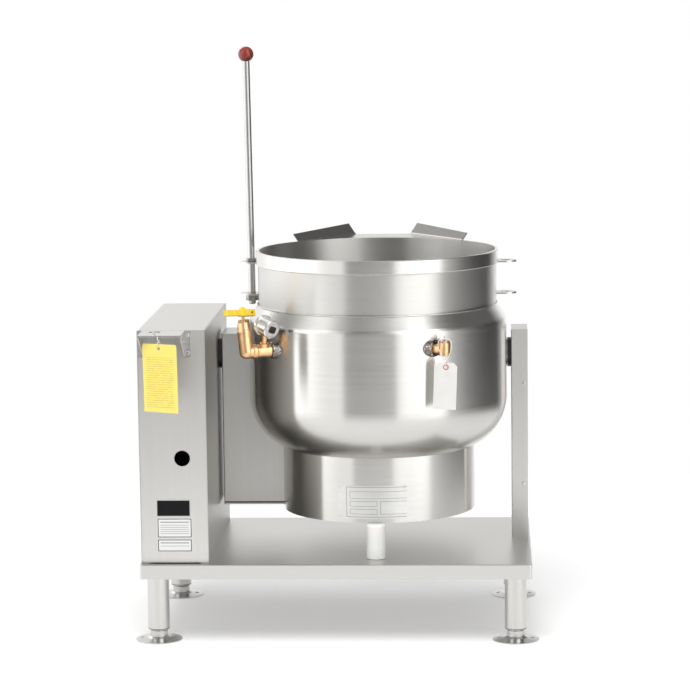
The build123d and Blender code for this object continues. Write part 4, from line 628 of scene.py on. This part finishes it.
# %% Plates on the console
PLATE_LEFT, PLATE_RIGHT = -0.3363, -0.2723
LABEL_LEFT, LABEL_RIGHT = -0.3355, -0.2700
PLATE_LOW, PLATE_HIGH = 0.2420, 0.2740
UPPER_LOW, UPPER_HIGH = 0.2013, 0.2388
LOWER_LOW, LOWER_HIGH = 0.1744, 0.1987
PLATE_OVER, PLATE_OVER_SOFT = 0.2405, 0.2410
RIM_WIDTH, FRAME_INSET, FRAME_WIDTH = 0.0012, 0.0009, 0.0013
EDGE_SOFTNESS = 0.0002
HEAVY_ROWS = (0.2312, 0.1915)
LIGHT_ROWS = (0.2255, 0.2215, 0.2175, 0.2135, 0.2095, 0.1855)
HEAVY_HALF, LIGHT_HALF, ROW_SOFTNESS = 0.0009, 0.0004, 0.0003
ROW_MARGIN, ROW_TONE = 0.005, 0.55


def frame_line(finish, x, z, left, right, low, high, inset, width):
    """1 on a thin line that runs round a rectangle, inset from its edge."""
    across = finish.maths("MINIMUM", x - left, right - x)
    edge = finish.maths("MINIMUM", across, finish.maths("MINIMUM", z - low, high - z))
    within = finish.ease(edge, inset - EDGE_SOFTNESS, inset)
    return within * (1.0 - finish.ease(edge, inset + width, inset + width + EDGE_SOFTNESS))


def label_row(finish, x, z, height, half):
    """A plain row across both labels' width at one height."""
    row = 1.0 - finish.ease(finish.maths("ABSOLUTE", z - height), half, half + ROW_SOFTNESS)
    start = finish.ease(x, LABEL_LEFT + ROW_MARGIN, LABEL_LEFT + ROW_MARGIN + 0.001)
    stop = 1.0 - finish.ease(x, LABEL_RIGHT - ROW_MARGIN - 0.001, LABEL_RIGHT - ROW_MARGIN)
    return row * start * stop * ROW_TONE


def panel_plate_finish():
    """Black plate and two white labels with dark frames and plain rows."""
    finish = Finish("bare_plates", Specular_IOR_Level=0.14)
    x, _, z = finish.split(finish.spot())
    dark = finish.ease(z, PLATE_OVER, PLATE_OVER_SOFT)
    smudge = finish.noise(finish.spot(), 70.0, 3.0, 0.5)
    plate = (PLATE_LEFT, PLATE_RIGHT, PLATE_LOW, PLATE_HIGH)
    rim = frame_line(finish, x, z, *plate, 0.0, RIM_WIDTH)
    lines = label_row(finish, x, z, HEAVY_ROWS[0], HEAVY_HALF)
    lines = lines + label_row(finish, x, z, HEAVY_ROWS[1], HEAVY_HALF)
    for height in LIGHT_ROWS:
        lines = lines + label_row(finish, x, z, height, LIGHT_HALF)
    for low, high in ((UPPER_LOW, UPPER_HIGH), (LOWER_LOW, LOWER_HIGH)):
        label = (LABEL_LEFT, LABEL_RIGHT, low, high)
        lines = lines + frame_line(finish, x, z, *label, FRAME_INSET, FRAME_WIDTH)
    inked = finish.ease(lines, 0.2, 0.8)
    paper = finish.blend(inked, (0.83, 0.83, 0.82, 1), (0.03, 0.03, 0.03, 1))
    black = finish.blend(rim, (0.008, 0.008, 0.009, 1), (0.62, 0.62, 0.61, 1))
    finish.feed("Base Color", finish.blend(dark, paper, black))
    finish.feed("Metallic", dark * rim)
    finish.feed("Roughness", finish.about(0.34, (smudge, 0.18)))
    return finish.material


panel_plates = panel_plate_finish()
print("plates on the console", panel_plates.name)

# %% [markdown]
# The plate on the skirt is etched foil that lies on a round wall. A frame and plain empty boxes
# divide it, and a fine grain runs round the wall as on the steel under it.

# %% Plate on the skirt
FOIL = (0.0165, 0.1485, 0.2275, 0.2910)
FOIL_INSET, FOIL_LINE, BOX_LINE = 0.0028, 0.0008, 0.0006
FOIL_BOXES = (
    (0.026, 0.078, 0.236, 0.246), (0.026, 0.078, 0.251, 0.261),
    (0.084, 0.139, 0.236, 0.261), (0.026, 0.139, 0.266, 0.280),
)


def skirt_plate_finish():
    """Etched foil with a frame and empty boxes."""
    finish = Finish("etched_foil", Metallic=0.85)
    x, y, z = finish.split(finish.spot())
    smudge = finish.noise(finish.spot(), 40.0, 3.0, 0.5)
    grain = finish.noise(finish.join(x * 14.0, y * 14.0, z * 1500.0), 1.0, 2.0)
    lines = frame_line(finish, x, z, *FOIL, FOIL_INSET, FOIL_LINE)
    for box in FOIL_BOXES:
        lines = lines + frame_line(finish, x, z, *box, 0.0, BOX_LINE)
    tone = finish.ease(smudge * 0.5 + grain * 0.5, 0.3, 0.7)
    foil = finish.blend(tone, (0.62, 0.615, 0.60, 1), (0.72, 0.715, 0.70, 1))
    ink = finish.ease(lines, 0.2, 0.8) * 0.7
    finish.feed("Base Color", finish.blend(ink, foil, (0.10, 0.10, 0.10, 1)))
    finish.feed("Roughness", finish.about(0.36, (smudge, 0.12), (grain, 0.08)))
    return finish.material


skirt_foil = skirt_plate_finish()
print("plate on the skirt", skirt_foil.name)

# %% [markdown]
# The gauge has a white printed dial behind clear glass. Glass is made with full transmission and a
# low roughness, and a faint film of dust keeps it from looking like nothing at all.

# %% Dial white and glass
def dial_paint():
    """White stove enamel."""
    finish = Finish("dial_paint", Coat_Weight=0.2)
    cloud = finish.noise(finish.spot(), 120.0, 3.0, 0.5)
    tone = finish.ease(cloud, 0.3, 0.7)
    finish.feed("Base Color", finish.blend(tone, (0.80, 0.80, 0.78, 1), (0.86, 0.86, 0.84, 1)))
    finish.feed("Roughness", finish.about(0.38, (cloud, 0.1)))
    return finish.material


def clear_glass():
    """Flat gauge glass."""
    finish = Finish("clear_glass", Transmission_Weight=1.0, IOR=1.47)
    dust = finish.noise(finish.spot(), 260.0, 3.0, 0.5)
    finish.feed("Roughness", 0.02 + finish.ease(dust, 0.5, 0.9) * 0.08)
    film = finish.ease(dust, 0.4, 0.8)
    finish.feed("Base Color", finish.blend(film, (0.97, 0.98, 0.98, 1), (0.93, 0.95, 0.95, 1)))
    return finish.material


dial_white = dial_paint()
gauge_glass = clear_glass()
print_black = moulded("print_black", (0.012, 0.012, 0.012), 0.5)
print("dial and glass ready")

# %% [markdown]
# Each carried-over part now gets its finish. The parts keep their own shape, so this is only a
# table from the part's name to a material. Anything left out would show up in the print below,
# apart from the two strings, which the curves above stand for.

# %% Give every part its finish
finishes = {
    "base_tray": tray_sheet, "leg_frame": sheet_along_y, "leg_tubes": sheet_upright,
    "foot_rear_left": turned_steel, "foot_rear_right": turned_steel,
    "foot_front_left": turned_steel, "foot_front_right": turned_steel,
    "bumper": stop_white, "console_wrap": wrap_sheet, "rear_panel": panel_sheet,
    "control_panel": sheet_upright, "shelf_bracket": sheet_along_x, "screws": bright_steel,
    "subpanel": zinc_plate, "contactor": case_grey, "thermostat_body": case_grey,
    "thermostat_dial": knob_black, "pilot_lamps": lens_amber, "switch_body": knob_black,
    "switch_rocker": rocker_red, "panel_plates": panel_plates, "bushes": bush_black,
    "left_bearing_plate": zinc_plate, "trunnion_collar": zinc_plate, "post_channel": post_sheet,
    "post_cover": post_sheet, "right_bearing_block": zinc_plate, "inner_bowl": bowl_polished,
    "rim_band": kettle_spun, "jacket_shell": kettle_spun, "jacket_dish": kettle_spun,
    "heaters": element_steel, "skirt": kettle_spun, "skirt_cover": kettle_spun,
    "trunnion_box": box_sheet, "trunnion_box_cap": box_cap, "left_trunnion": turned_steel,
    "right_trunnion": turned_steel, "pour_lip": lip_sheet, "handle_brackets": sheet_along_x,
    "handle_rod": rod_steel, "handle_ball": ball_red, "handle_nuts": nut_steel,
    "port_couplings": coupling_steel, "brass_fittings": brass, "gauge_case": gauge_metal,
    "gauge_dial": dial_white, "gauge_pointer": print_black, "gauge_glass": gauge_glass,
    "vent_valve": brass, "vent_lever": sleeve_yellow, "safety_valve": brass,
    "safety_pull": bright_steel, "skirt_plate": skirt_foil, "yellow_tag": yellow_card,
    "yellow_tag_loop": string_cotton, "white_tag": white_card, "white_tag_loop": string_cotton,
}
for name, material in finishes.items():
    mesh = nodes[name].data
    mesh.materials.clear()
    mesh.materials.append(material)
for piece in (shelf_string, valve_string):
    piece.data.materials.append(string_cotton)
hidden = {"yellow_string", "white_string"}
print("without a finish:", sorted(set(nodes) - set(finishes) - hidden))

# %% [markdown]
# The ticks of both dials repeat round an arc, and a Geometry Nodes tree makes them. It spreads a
# number of points along the arc, puts a copy of one small mesh on each, turned to face outwards,
# and makes the copies real. The result is then kept as a plain mesh.

# %% A tree that sets copies round an arc
def ring_tree():
    """Copies of one item round an arc, each turned with it."""
    tree = bpy.data.node_groups.new("copies_round_an_arc", "GeometryNodeTree")
    face = tree.interface
    face.new_socket("Geometry", in_out="INPUT", socket_type="NodeSocketGeometry")
    for name, kind, value in (
        ("Item", "NodeSocketObject", None), ("Finish", "NodeSocketMaterial", None),
        ("Count", "NodeSocketInt", 12), ("Radius", "NodeSocketFloat", 0.01),
        ("Start", "NodeSocketFloat", 0.0), ("Step", "NodeSocketFloat", 0.5),
    ):
        socket = face.new_socket(name, in_out="INPUT", socket_type=kind)
        if value is not None:
            socket.default_value = value
    face.new_socket("Geometry", in_out="OUTPUT", socket_type="NodeSocketGeometry")
    board = Board(tree)
    given = tree.nodes.new("NodeGroupInput")
    wires = {socket.name: Wire(tree, socket) for socket in given.outputs if socket.name}
    points = board.node("GeometryNodePoints", {}, {"Count": wires["Count"]}, "Points")
    index = board.node("GeometryNodeInputIndex", {}, {})
    angle = index * wires["Step"] + wires["Start"]
    across = board.maths("COSINE", angle) * wires["Radius"]
    along = board.maths("SINE", angle) * wires["Radius"]
    spots = {"Geometry": points, "Position": board.join(across, along, 0.0)}
    placed = board.node("GeometryNodeSetPosition", {}, spots)
    item = board.node("GeometryNodeObjectInfo", {}, {"Object": wires["Item"]}, "Geometry")
    turn = board.node("FunctionNodeEulerToRotation", {}, {"Euler": board.join(0.0, 0.0, angle)})
    laid = {"Points": placed, "Instance": item, "Rotation": turn}
    copies = board.node("GeometryNodeInstanceOnPoints", {}, laid)
    real = board.node("GeometryNodeRealizeInstances", {}, {"Geometry": copies})
    dressed = {"Geometry": real, "Material": wires["Finish"]}
    done = board.node("GeometryNodeSetMaterial", {}, dressed)
    out = tree.nodes.new("NodeGroupOutput")
    tree.links.new(done.socket, out.inputs[0])
    return tree


arc_tree = ring_tree()
print("arc tree ready with", len(arc_tree.nodes), "nodes")

# %% [markdown]
# Three helpers follow. One makes an object from a function that fills its mesh, one runs the tree
# and keeps its result, and one gives the small block that every tick is a copy of.

# %% Helpers for small pieces
EDGE_SHARE = 0.15


def mesh_piece(name, fill):
    """An object with a mesh that a function fills with bmesh."""
    mesh = bpy.data.meshes.new(name)
    work = bmesh.new()
    fill(work)
    bmesh.ops.recalc_face_normals(work, faces=work.faces)
    work.to_mesh(mesh)
    work.free()
    piece = bpy.data.objects.new(name, mesh)
    bpy.context.scene.collection.objects.link(piece)
    return piece


def arc_of(name, item, finish, count, radius, start, step, place):
    """Runs the tree, and returns its result as a plain mesh at its place."""
    carrier = bpy.data.objects.new(name + "_carrier", bpy.data.meshes.new(name))
    bpy.context.scene.collection.objects.link(carrier)
    modifier = carrier.modifiers.new("arc", "NODES")
    modifier.node_group = arc_tree
    values = {
        "Item": item, "Finish": finish, "Count": count,
        "Radius": radius, "Start": start, "Step": step,
    }
    for socket in arc_tree.interface.items_tree:
        if socket.in_out == "INPUT" and socket.name in values:
            modifier[socket.identifier] = values[socket.name]
    carrier.update_tag()
    graph = bpy.context.evaluated_depsgraph_get()
    mesh = bpy.data.meshes.new_from_object(carrier.evaluated_get(graph))
    bpy.data.objects.remove(carrier)
    mesh.transform(place)
    mesh.materials.clear()
    mesh.materials.append(finish)
    piece = bpy.data.objects.new(name, mesh)
    bpy.context.scene.collection.objects.link(piece)
    return piece


def block(size, centre=(0.0, 0.0, 0.0)):
    """A small block with slightly broken edges, as a filling function."""
    def fill(work):
        made = bmesh.ops.create_cube(work, size=1.0)
        bmesh.ops.scale(work, vec=size, verts=made["verts"])
        bmesh.ops.translate(work, vec=centre, verts=made["verts"])
        broken = min(size) * EDGE_SHARE
        bmesh.ops.bevel(work, geom=work.edges, offset=broken, segments=1, affect="EDGES")
    return fill


print("helpers ready")

# %% [markdown]
# The gauge is read from the operator's side. Its scale runs over three quarters of a turn, with a
# long tick at each number. The numbers are plain text turned into a thin mesh, because the finished
# model keeps meshes only.

# %% Gauge scale
DIAL_FACE = 0.0083
TICK_RADIUS, NUMBER_RADIUS, NUMBER_SIZE = 0.0143, 0.0106, 0.0030
GAUGE_ZERO, GAUGE_SWEEP = math.radians(225.0), math.radians(-270.0)
PRINT_HALF = 0.00006


def gauge_frame(height):
    """Place on the gauge's axis: X to the reader's right, Y up, Z out of the dial."""
    turn = Matrix((GAUGE_UP.cross(GAUGE_OUT), GAUGE_UP, GAUGE_OUT)).transposed().to_4x4()
    return Matrix.Translation(GAUGE_AT + GAUGE_OUT * height) @ turn


def numbers(name, words, radius, start, step, size, place, finish):
    """Numbers round a dial, upright to the reader."""
    whole = bmesh.new()
    for index, word in enumerate(words):
        text = bpy.data.curves.new(name + "_text", "FONT")
        text.body = word
        text.size = size
        text.align_x, text.align_y = "CENTER", "CENTER"
        text.extrude = PRINT_HALF
        text.resolution_u = 3
        holder = bpy.data.objects.new(name + "_text", text)
        bpy.context.scene.collection.objects.link(holder)
        graph = bpy.context.evaluated_depsgraph_get()
        mesh = bpy.data.meshes.new_from_object(holder.evaluated_get(graph))
        angle = start + step * index
        aside = Vector((radius * math.cos(angle), radius * math.sin(angle), 0.0))
        mesh.transform(Matrix.Translation(aside))
        whole.from_mesh(mesh)
        bpy.data.objects.remove(holder)
    mesh = bpy.data.meshes.new(name)
    bmesh.ops.recalc_face_normals(whole, faces=whole.faces)
    whole.to_mesh(mesh)
    whole.free()
    mesh.transform(place)
    mesh.materials.append(finish)
    piece = bpy.data.objects.new(name, mesh)
    bpy.context.scene.collection.objects.link(piece)
    return piece


long_tick = mesh_piece("long_tick_item", block((0.0022, 0.0005, 0.0001)))
short_tick = mesh_piece(
    "short_tick_item", block((0.0012, 0.0003, 0.0001), (0.0005, 0.0, 0.0)),
)
face = gauge_frame(DIAL_FACE)
gauge_words = [str(value) for value in range(0, 70, 10)]
gauge_long = arc_of(
    "gauge_long_ticks", long_tick, print_black, 7, TICK_RADIUS, GAUGE_ZERO, GAUGE_SWEEP / 6, face,
)
gauge_short = arc_of(
    "gauge_short_ticks", short_tick, print_black, 31, TICK_RADIUS, GAUGE_ZERO, GAUGE_SWEEP / 30,
    face,
)
gauge_numbers = numbers(
    "gauge_numbers", gauge_words, NUMBER_RADIUS, GAUGE_ZERO, GAUGE_SWEEP / 6, NUMBER_SIZE, face,
    print_black,
)
for piece in (gauge_long, gauge_short, gauge_numbers):
    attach(piece, "kettle")
print("gauge marks", len(gauge_numbers.data.vertices), "vertices in the numbers")

# %% [markdown]
# The thermostat on the operator's panel has ten settings. The printed ring of ticks and numbers
# stays on the panel, so it rides on the stand, and only the knob turns.

# %% Thermostat scale
KNOB_AT = Vector((-0.303, 0.1912, 0.466))
KNOB_TICK_RADIUS, KNOB_NUMBER_RADIUS, KNOB_NUMBER_SIZE = 0.0335, 0.0405, 0.0062
KNOB_ZERO, KNOB_SWEEP = math.radians(240.0), math.radians(-300.0)
KNOB_WORDS = [str(value) for value in range(11)]
PRINT_PROUD = 0.00004


def panel_frame(centre, height):
    """Place on the operator's panel: X to the reader's right, Y up, Z out of the panel."""
    turn = Matrix(((-1, 0, 0), (0, 0, 1), (0, 1, 0))).transposed().to_4x4()
    return Matrix.Translation(centre + Vector((0, height, 0))) @ turn


ring_tick = mesh_piece("ring_tick_item", block((0.0035, 0.0008, 0.00016)))
panel_face = panel_frame(KNOB_AT, PRINT_PROUD)
knob_ticks = arc_of(
    "knob_ticks", ring_tick, print_black, 11, KNOB_TICK_RADIUS, KNOB_ZERO, KNOB_SWEEP / 10,
    panel_face,
)
knob_numbers = numbers(
    "knob_numbers", KNOB_WORDS, KNOB_NUMBER_RADIUS, KNOB_ZERO, KNOB_SWEEP / 10, KNOB_NUMBER_SIZE,
    panel_face, print_black,
)
for piece in (knob_ticks, knob_numbers):
    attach(piece, "stand")
for item in (long_tick, short_tick, ring_tick):
    bpy.data.objects.remove(item)
print("thermostat marks", len(knob_numbers.data.vertices), "vertices in the numbers")

# %% [markdown]
# The eye of the white tag is strengthened with a small red paper washer on either face. They are
# too thin to matter as parts, so they are added here, and they ride on the tag.

# %% Washers round the tag's eye
WHITE_EYE = Vector((0.21102, -0.24841, 0.526))
WHITE_TURN, WHITE_TILT = math.radians(-8.0), math.radians(2.2)
TAG_HALF_SHEET = 0.0004
WASHER_INSIDE, WASHER_OUTSIDE, WASHER_SHEET = 0.0032, 0.0053, 0.00015
WASHER_SIDES = 40


def washers(work):
    """Two flat rings, one on each face of the tag, round the origin in the XZ plane."""
    around = [2 * math.pi * index / WASHER_SIDES for index in range(WASHER_SIDES)]
    for side in (-1, 1):
        rings = []
        for radius in (WASHER_INSIDE, WASHER_OUTSIDE):
            for depth in (TAG_HALF_SHEET, TAG_HALF_SHEET + WASHER_SHEET):
                ring = [(radius * math.cos(a), side * depth, radius * math.sin(a)) for a in around]
                rings.append([work.verts.new(place) for place in ring])
        inner_low, inner_high, outer_low, outer_high = rings
        loop = (inner_low, inner_high, outer_high, outer_low)
        for one, two in zip(loop, loop[1:] + loop[:1]):
            for index in range(WASHER_SIDES):
                after = (index + 1) % WASHER_SIDES
                work.faces.new((one[index], one[after], two[after], two[index]))


washer_red = moulded("washer_red", (0.66, 0.20, 0.11), 0.6, scale=900.0, mottle=0.12)
tag_washers = mesh_piece("tag_washers", washers)
hang = Matrix.Rotation(WHITE_TURN, 4, "Z") @ Matrix.Rotation(WHITE_TILT, 4, "Y")
tag_washers.data.transform(Matrix.Translation(WHITE_EYE) @ hang)
tag_washers.data.materials.append(washer_red)
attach(tag_washers, "white_tag")
print("washers", len(tag_washers.data.polygons), "faces")

# %% [markdown]
# Polished steel only looks like steel when it has something to reflect. Here that is a set of tall
# soft screens, written as three rings of greys: the walls near the horizon, the dome above them and
# the crown under the roof. Each ring goes once round by compass turn: 0 and 1 lie behind the
# object, 0.25 on its left, 0.5 behind the camera and 0.75 on its right. The screens are brightest
# on the left and to the right of the camera, and dark on the right.

# %% Screens for the steel to reflect
WALLS = [
    (0.0, 0.41), (0.06, 0.43), (0.11, 0.52), (0.14, 0.59), (0.18, 0.77), (0.21, 0.86),
    (0.25, 0.88), (0.31, 0.81), (0.335, 0.70), (0.36, 0.57), (0.385, 0.51), (0.415, 0.53),
    (0.425, 0.22), (0.44, 0.18), (0.47, 0.187), (0.51, 0.22), (0.535, 0.24), (0.5475, 0.28),
    (0.556, 0.58), (0.576, 0.70), (0.61, 0.72), (0.65, 0.85), (0.672, 0.77), (0.69, 0.34),
    (0.71, 0.23), (0.75, 0.10), (0.785, 0.05), (0.825, 0.03), (0.875, 0.035), (0.915, 0.24),
    (0.945, 0.45), (1.0, 0.41),
]
DOME = [
    (0.0, 0.22), (0.06, 0.40), (0.09, 0.62), (0.12, 0.66), (0.14, 0.36), (0.155, 0.20),
    (0.18, 0.14), (0.23, 0.16), (0.26, 0.36), (0.335, 0.66), (0.36, 0.56), (0.385, 0.40),
    (0.415, 0.22), (0.425, 0.13), (0.44, 0.10), (0.47, 0.10), (0.51, 0.16), (0.535, 0.28),
    (0.556, 0.56), (0.576, 0.74), (0.61, 1.0), (0.65, 1.0), (0.672, 0.36), (0.69, 0.10),
    (0.71, 0.05), (0.94, 0.05), (1.0, 0.22),
]
CROWN = [
    (0.0, 0.10), (0.08, 0.50), (0.12, 0.62), (0.14, 0.36), (0.17, 0.28), (0.42, 0.28),
    (0.50, 0.36), (0.60, 0.46), (0.70, 0.56), (0.77, 0.50), (0.83, 0.66), (0.85, 0.30),
    (0.88, 0.08), (1.0, 0.10),
]
WALL_LIGHT, DOME_LIGHT, ROOF_LIGHT = 2.6, 3.3, 1.93
ROOF_SLOPE, ROOF_MIDDLE = 0.5, 0.40
WALLS_TO_DOME, DOME_TO_CROWN, CROWN_TO_ROOF = (0.22, 0.42), (0.72, 0.86), (0.90, 0.985)
print("screens", len(WALLS), len(DOME), len(CROWN), "stops")

# %% [markdown]
# The world is one sum over the direction of a ray. A glossy ray sees the screens, a matt surface
# gets the same soft light from everywhere, and the camera and a ray through glass see plain white.
# Heights of a direction run from 0 at the horizon to 1 overhead.

# %% Surround
MATT_LIGHT = 0.76


def surround():
    """World light: even for matt surfaces, screens for glossy ones, white behind the object."""
    world = bpy.data.worlds.new("studio")
    bpy.context.scene.world = world
    world.use_nodes = True
    tree = world.node_tree
    tree.nodes.clear()
    board = Board(tree)
    x, y, z = board.split(board.node("ShaderNodeTexCoord", {}, {}, "Generated"))
    turn = board.maths("ARCTAN2", x, -1.0 * y) / (2 * math.pi) + 0.5
    low, high, top = [
        board.node("ShaderNodeValToRGB", {"stops": stops}, {"Fac": turn}) * light
        for stops, light in ((WALLS, WALL_LIGHT), (DOME, DOME_LIGHT), (CROWN, ROOF_LIGHT))
    ]
    rise = board.ease(z, *WALLS_TO_DOME)
    climb = board.ease(z, *DOME_TO_CROWN)
    zenith = board.ease(z, *CROWN_TO_ROOF)
    roof = top * (1.0 - zenith) + (x * ROOF_SLOPE + ROOF_MIDDLE) * ROOF_LIGHT * zenith
    above = high * (1.0 - climb) + roof * climb
    level = low * (1.0 - rise) + above * rise
    path = tree.nodes.new("ShaderNodeLightPath")
    seen, mirrored, passed = [
        Wire(tree, path.outputs[ray])
        for ray in ("Is Camera Ray", "Is Glossy Ray", "Is Transmission Ray")
    ]
    matt = 1.0 - board.ease(seen + mirrored + passed, 0.2, 0.8)
    unseen = 1.0 - seen
    strength = seen + passed * unseen + mirrored * unseen * level + matt * MATT_LIGHT
    values = {"Color": (1, 1, 1, 1), "Strength": strength}
    light = board.node("ShaderNodeBackground", {}, values)
    out = tree.nodes.new("ShaderNodeOutputWorld")
    tree.links.new(light.socket, out.inputs["Surface"])
    return world


studio = surround()
print("surround", studio.name, len(studio.node_tree.nodes), "nodes")

# %% [markdown]
# The floor is a pale disc that ends outside the view. It glows a little for the camera and in
# reflections, which turns its pale paint white there, and it keeps the object's shadow. One large
# square lamp overhead, a little in front and to the left, gives that shadow. Glossy rays don't see
# the lamp, because the screens already stand for every light that the steel would show.

# %% Floor and lamp
FLOOR_RADIUS, FLOOR_GLOW = 1.7, 0.22
LAMP_AT, LAMP_TARGET = Vector((-0.3, -1.3, 3.1)), Vector((0.0, 0.0, 0.2))
LAMP_SIZE, LAMP_POWER = 2.3, 74.0


def pale_floor():
    """Large plain floor that is white to the camera and keeps the shadow."""
    def fill(work):
        bmesh.ops.create_circle(work, cap_ends=True, segments=96, radius=FLOOR_RADIUS)
    floor = mesh_piece("floor", fill)
    finish = Finish("floor_white", Roughness=0.9, Specular_IOR_Level=0.0)
    finish.shader.inputs["Base Color"].default_value = (0.80, 0.80, 0.80, 1)
    finish.shader.inputs["Emission Strength"].default_value = 1.0
    path = finish.tree.nodes.new("ShaderNodeLightPath")
    seen = Wire(finish.tree, path.outputs["Is Camera Ray"])
    mirrored = Wire(finish.tree, path.outputs["Is Glossy Ray"])
    lit = finish.ease(seen + mirrored, 0.2, 0.8)
    glow = finish.blend(lit, (0, 0, 0, 1), (FLOOR_GLOW, FLOOR_GLOW, FLOOR_GLOW, 1))
    finish.feed("Emission Color", glow)
    floor.data.materials.append(finish.material)
    return floor


def overhead_lamp():
    """Square soft lamp aimed at the foot of the machine."""
    data = bpy.data.lights.new("overhead", "AREA")
    data.shape = "SQUARE"
    data.size = LAMP_SIZE
    data.energy = LAMP_POWER
    lamp = bpy.data.objects.new("overhead", data)
    bpy.context.scene.collection.objects.link(lamp)
    aim = (LAMP_TARGET - LAMP_AT).to_track_quat("-Z", "Y").to_matrix().to_4x4()
    lamp.matrix_world = Matrix.Translation(LAMP_AT) @ aim
    lamp.visible_glossy = False
    return lamp


floor = pale_floor()
overhead = overhead_lamp()
bpy.context.scene.view_settings.view_transform = "Standard"
print("floor and lamp", floor.name, overhead.name)
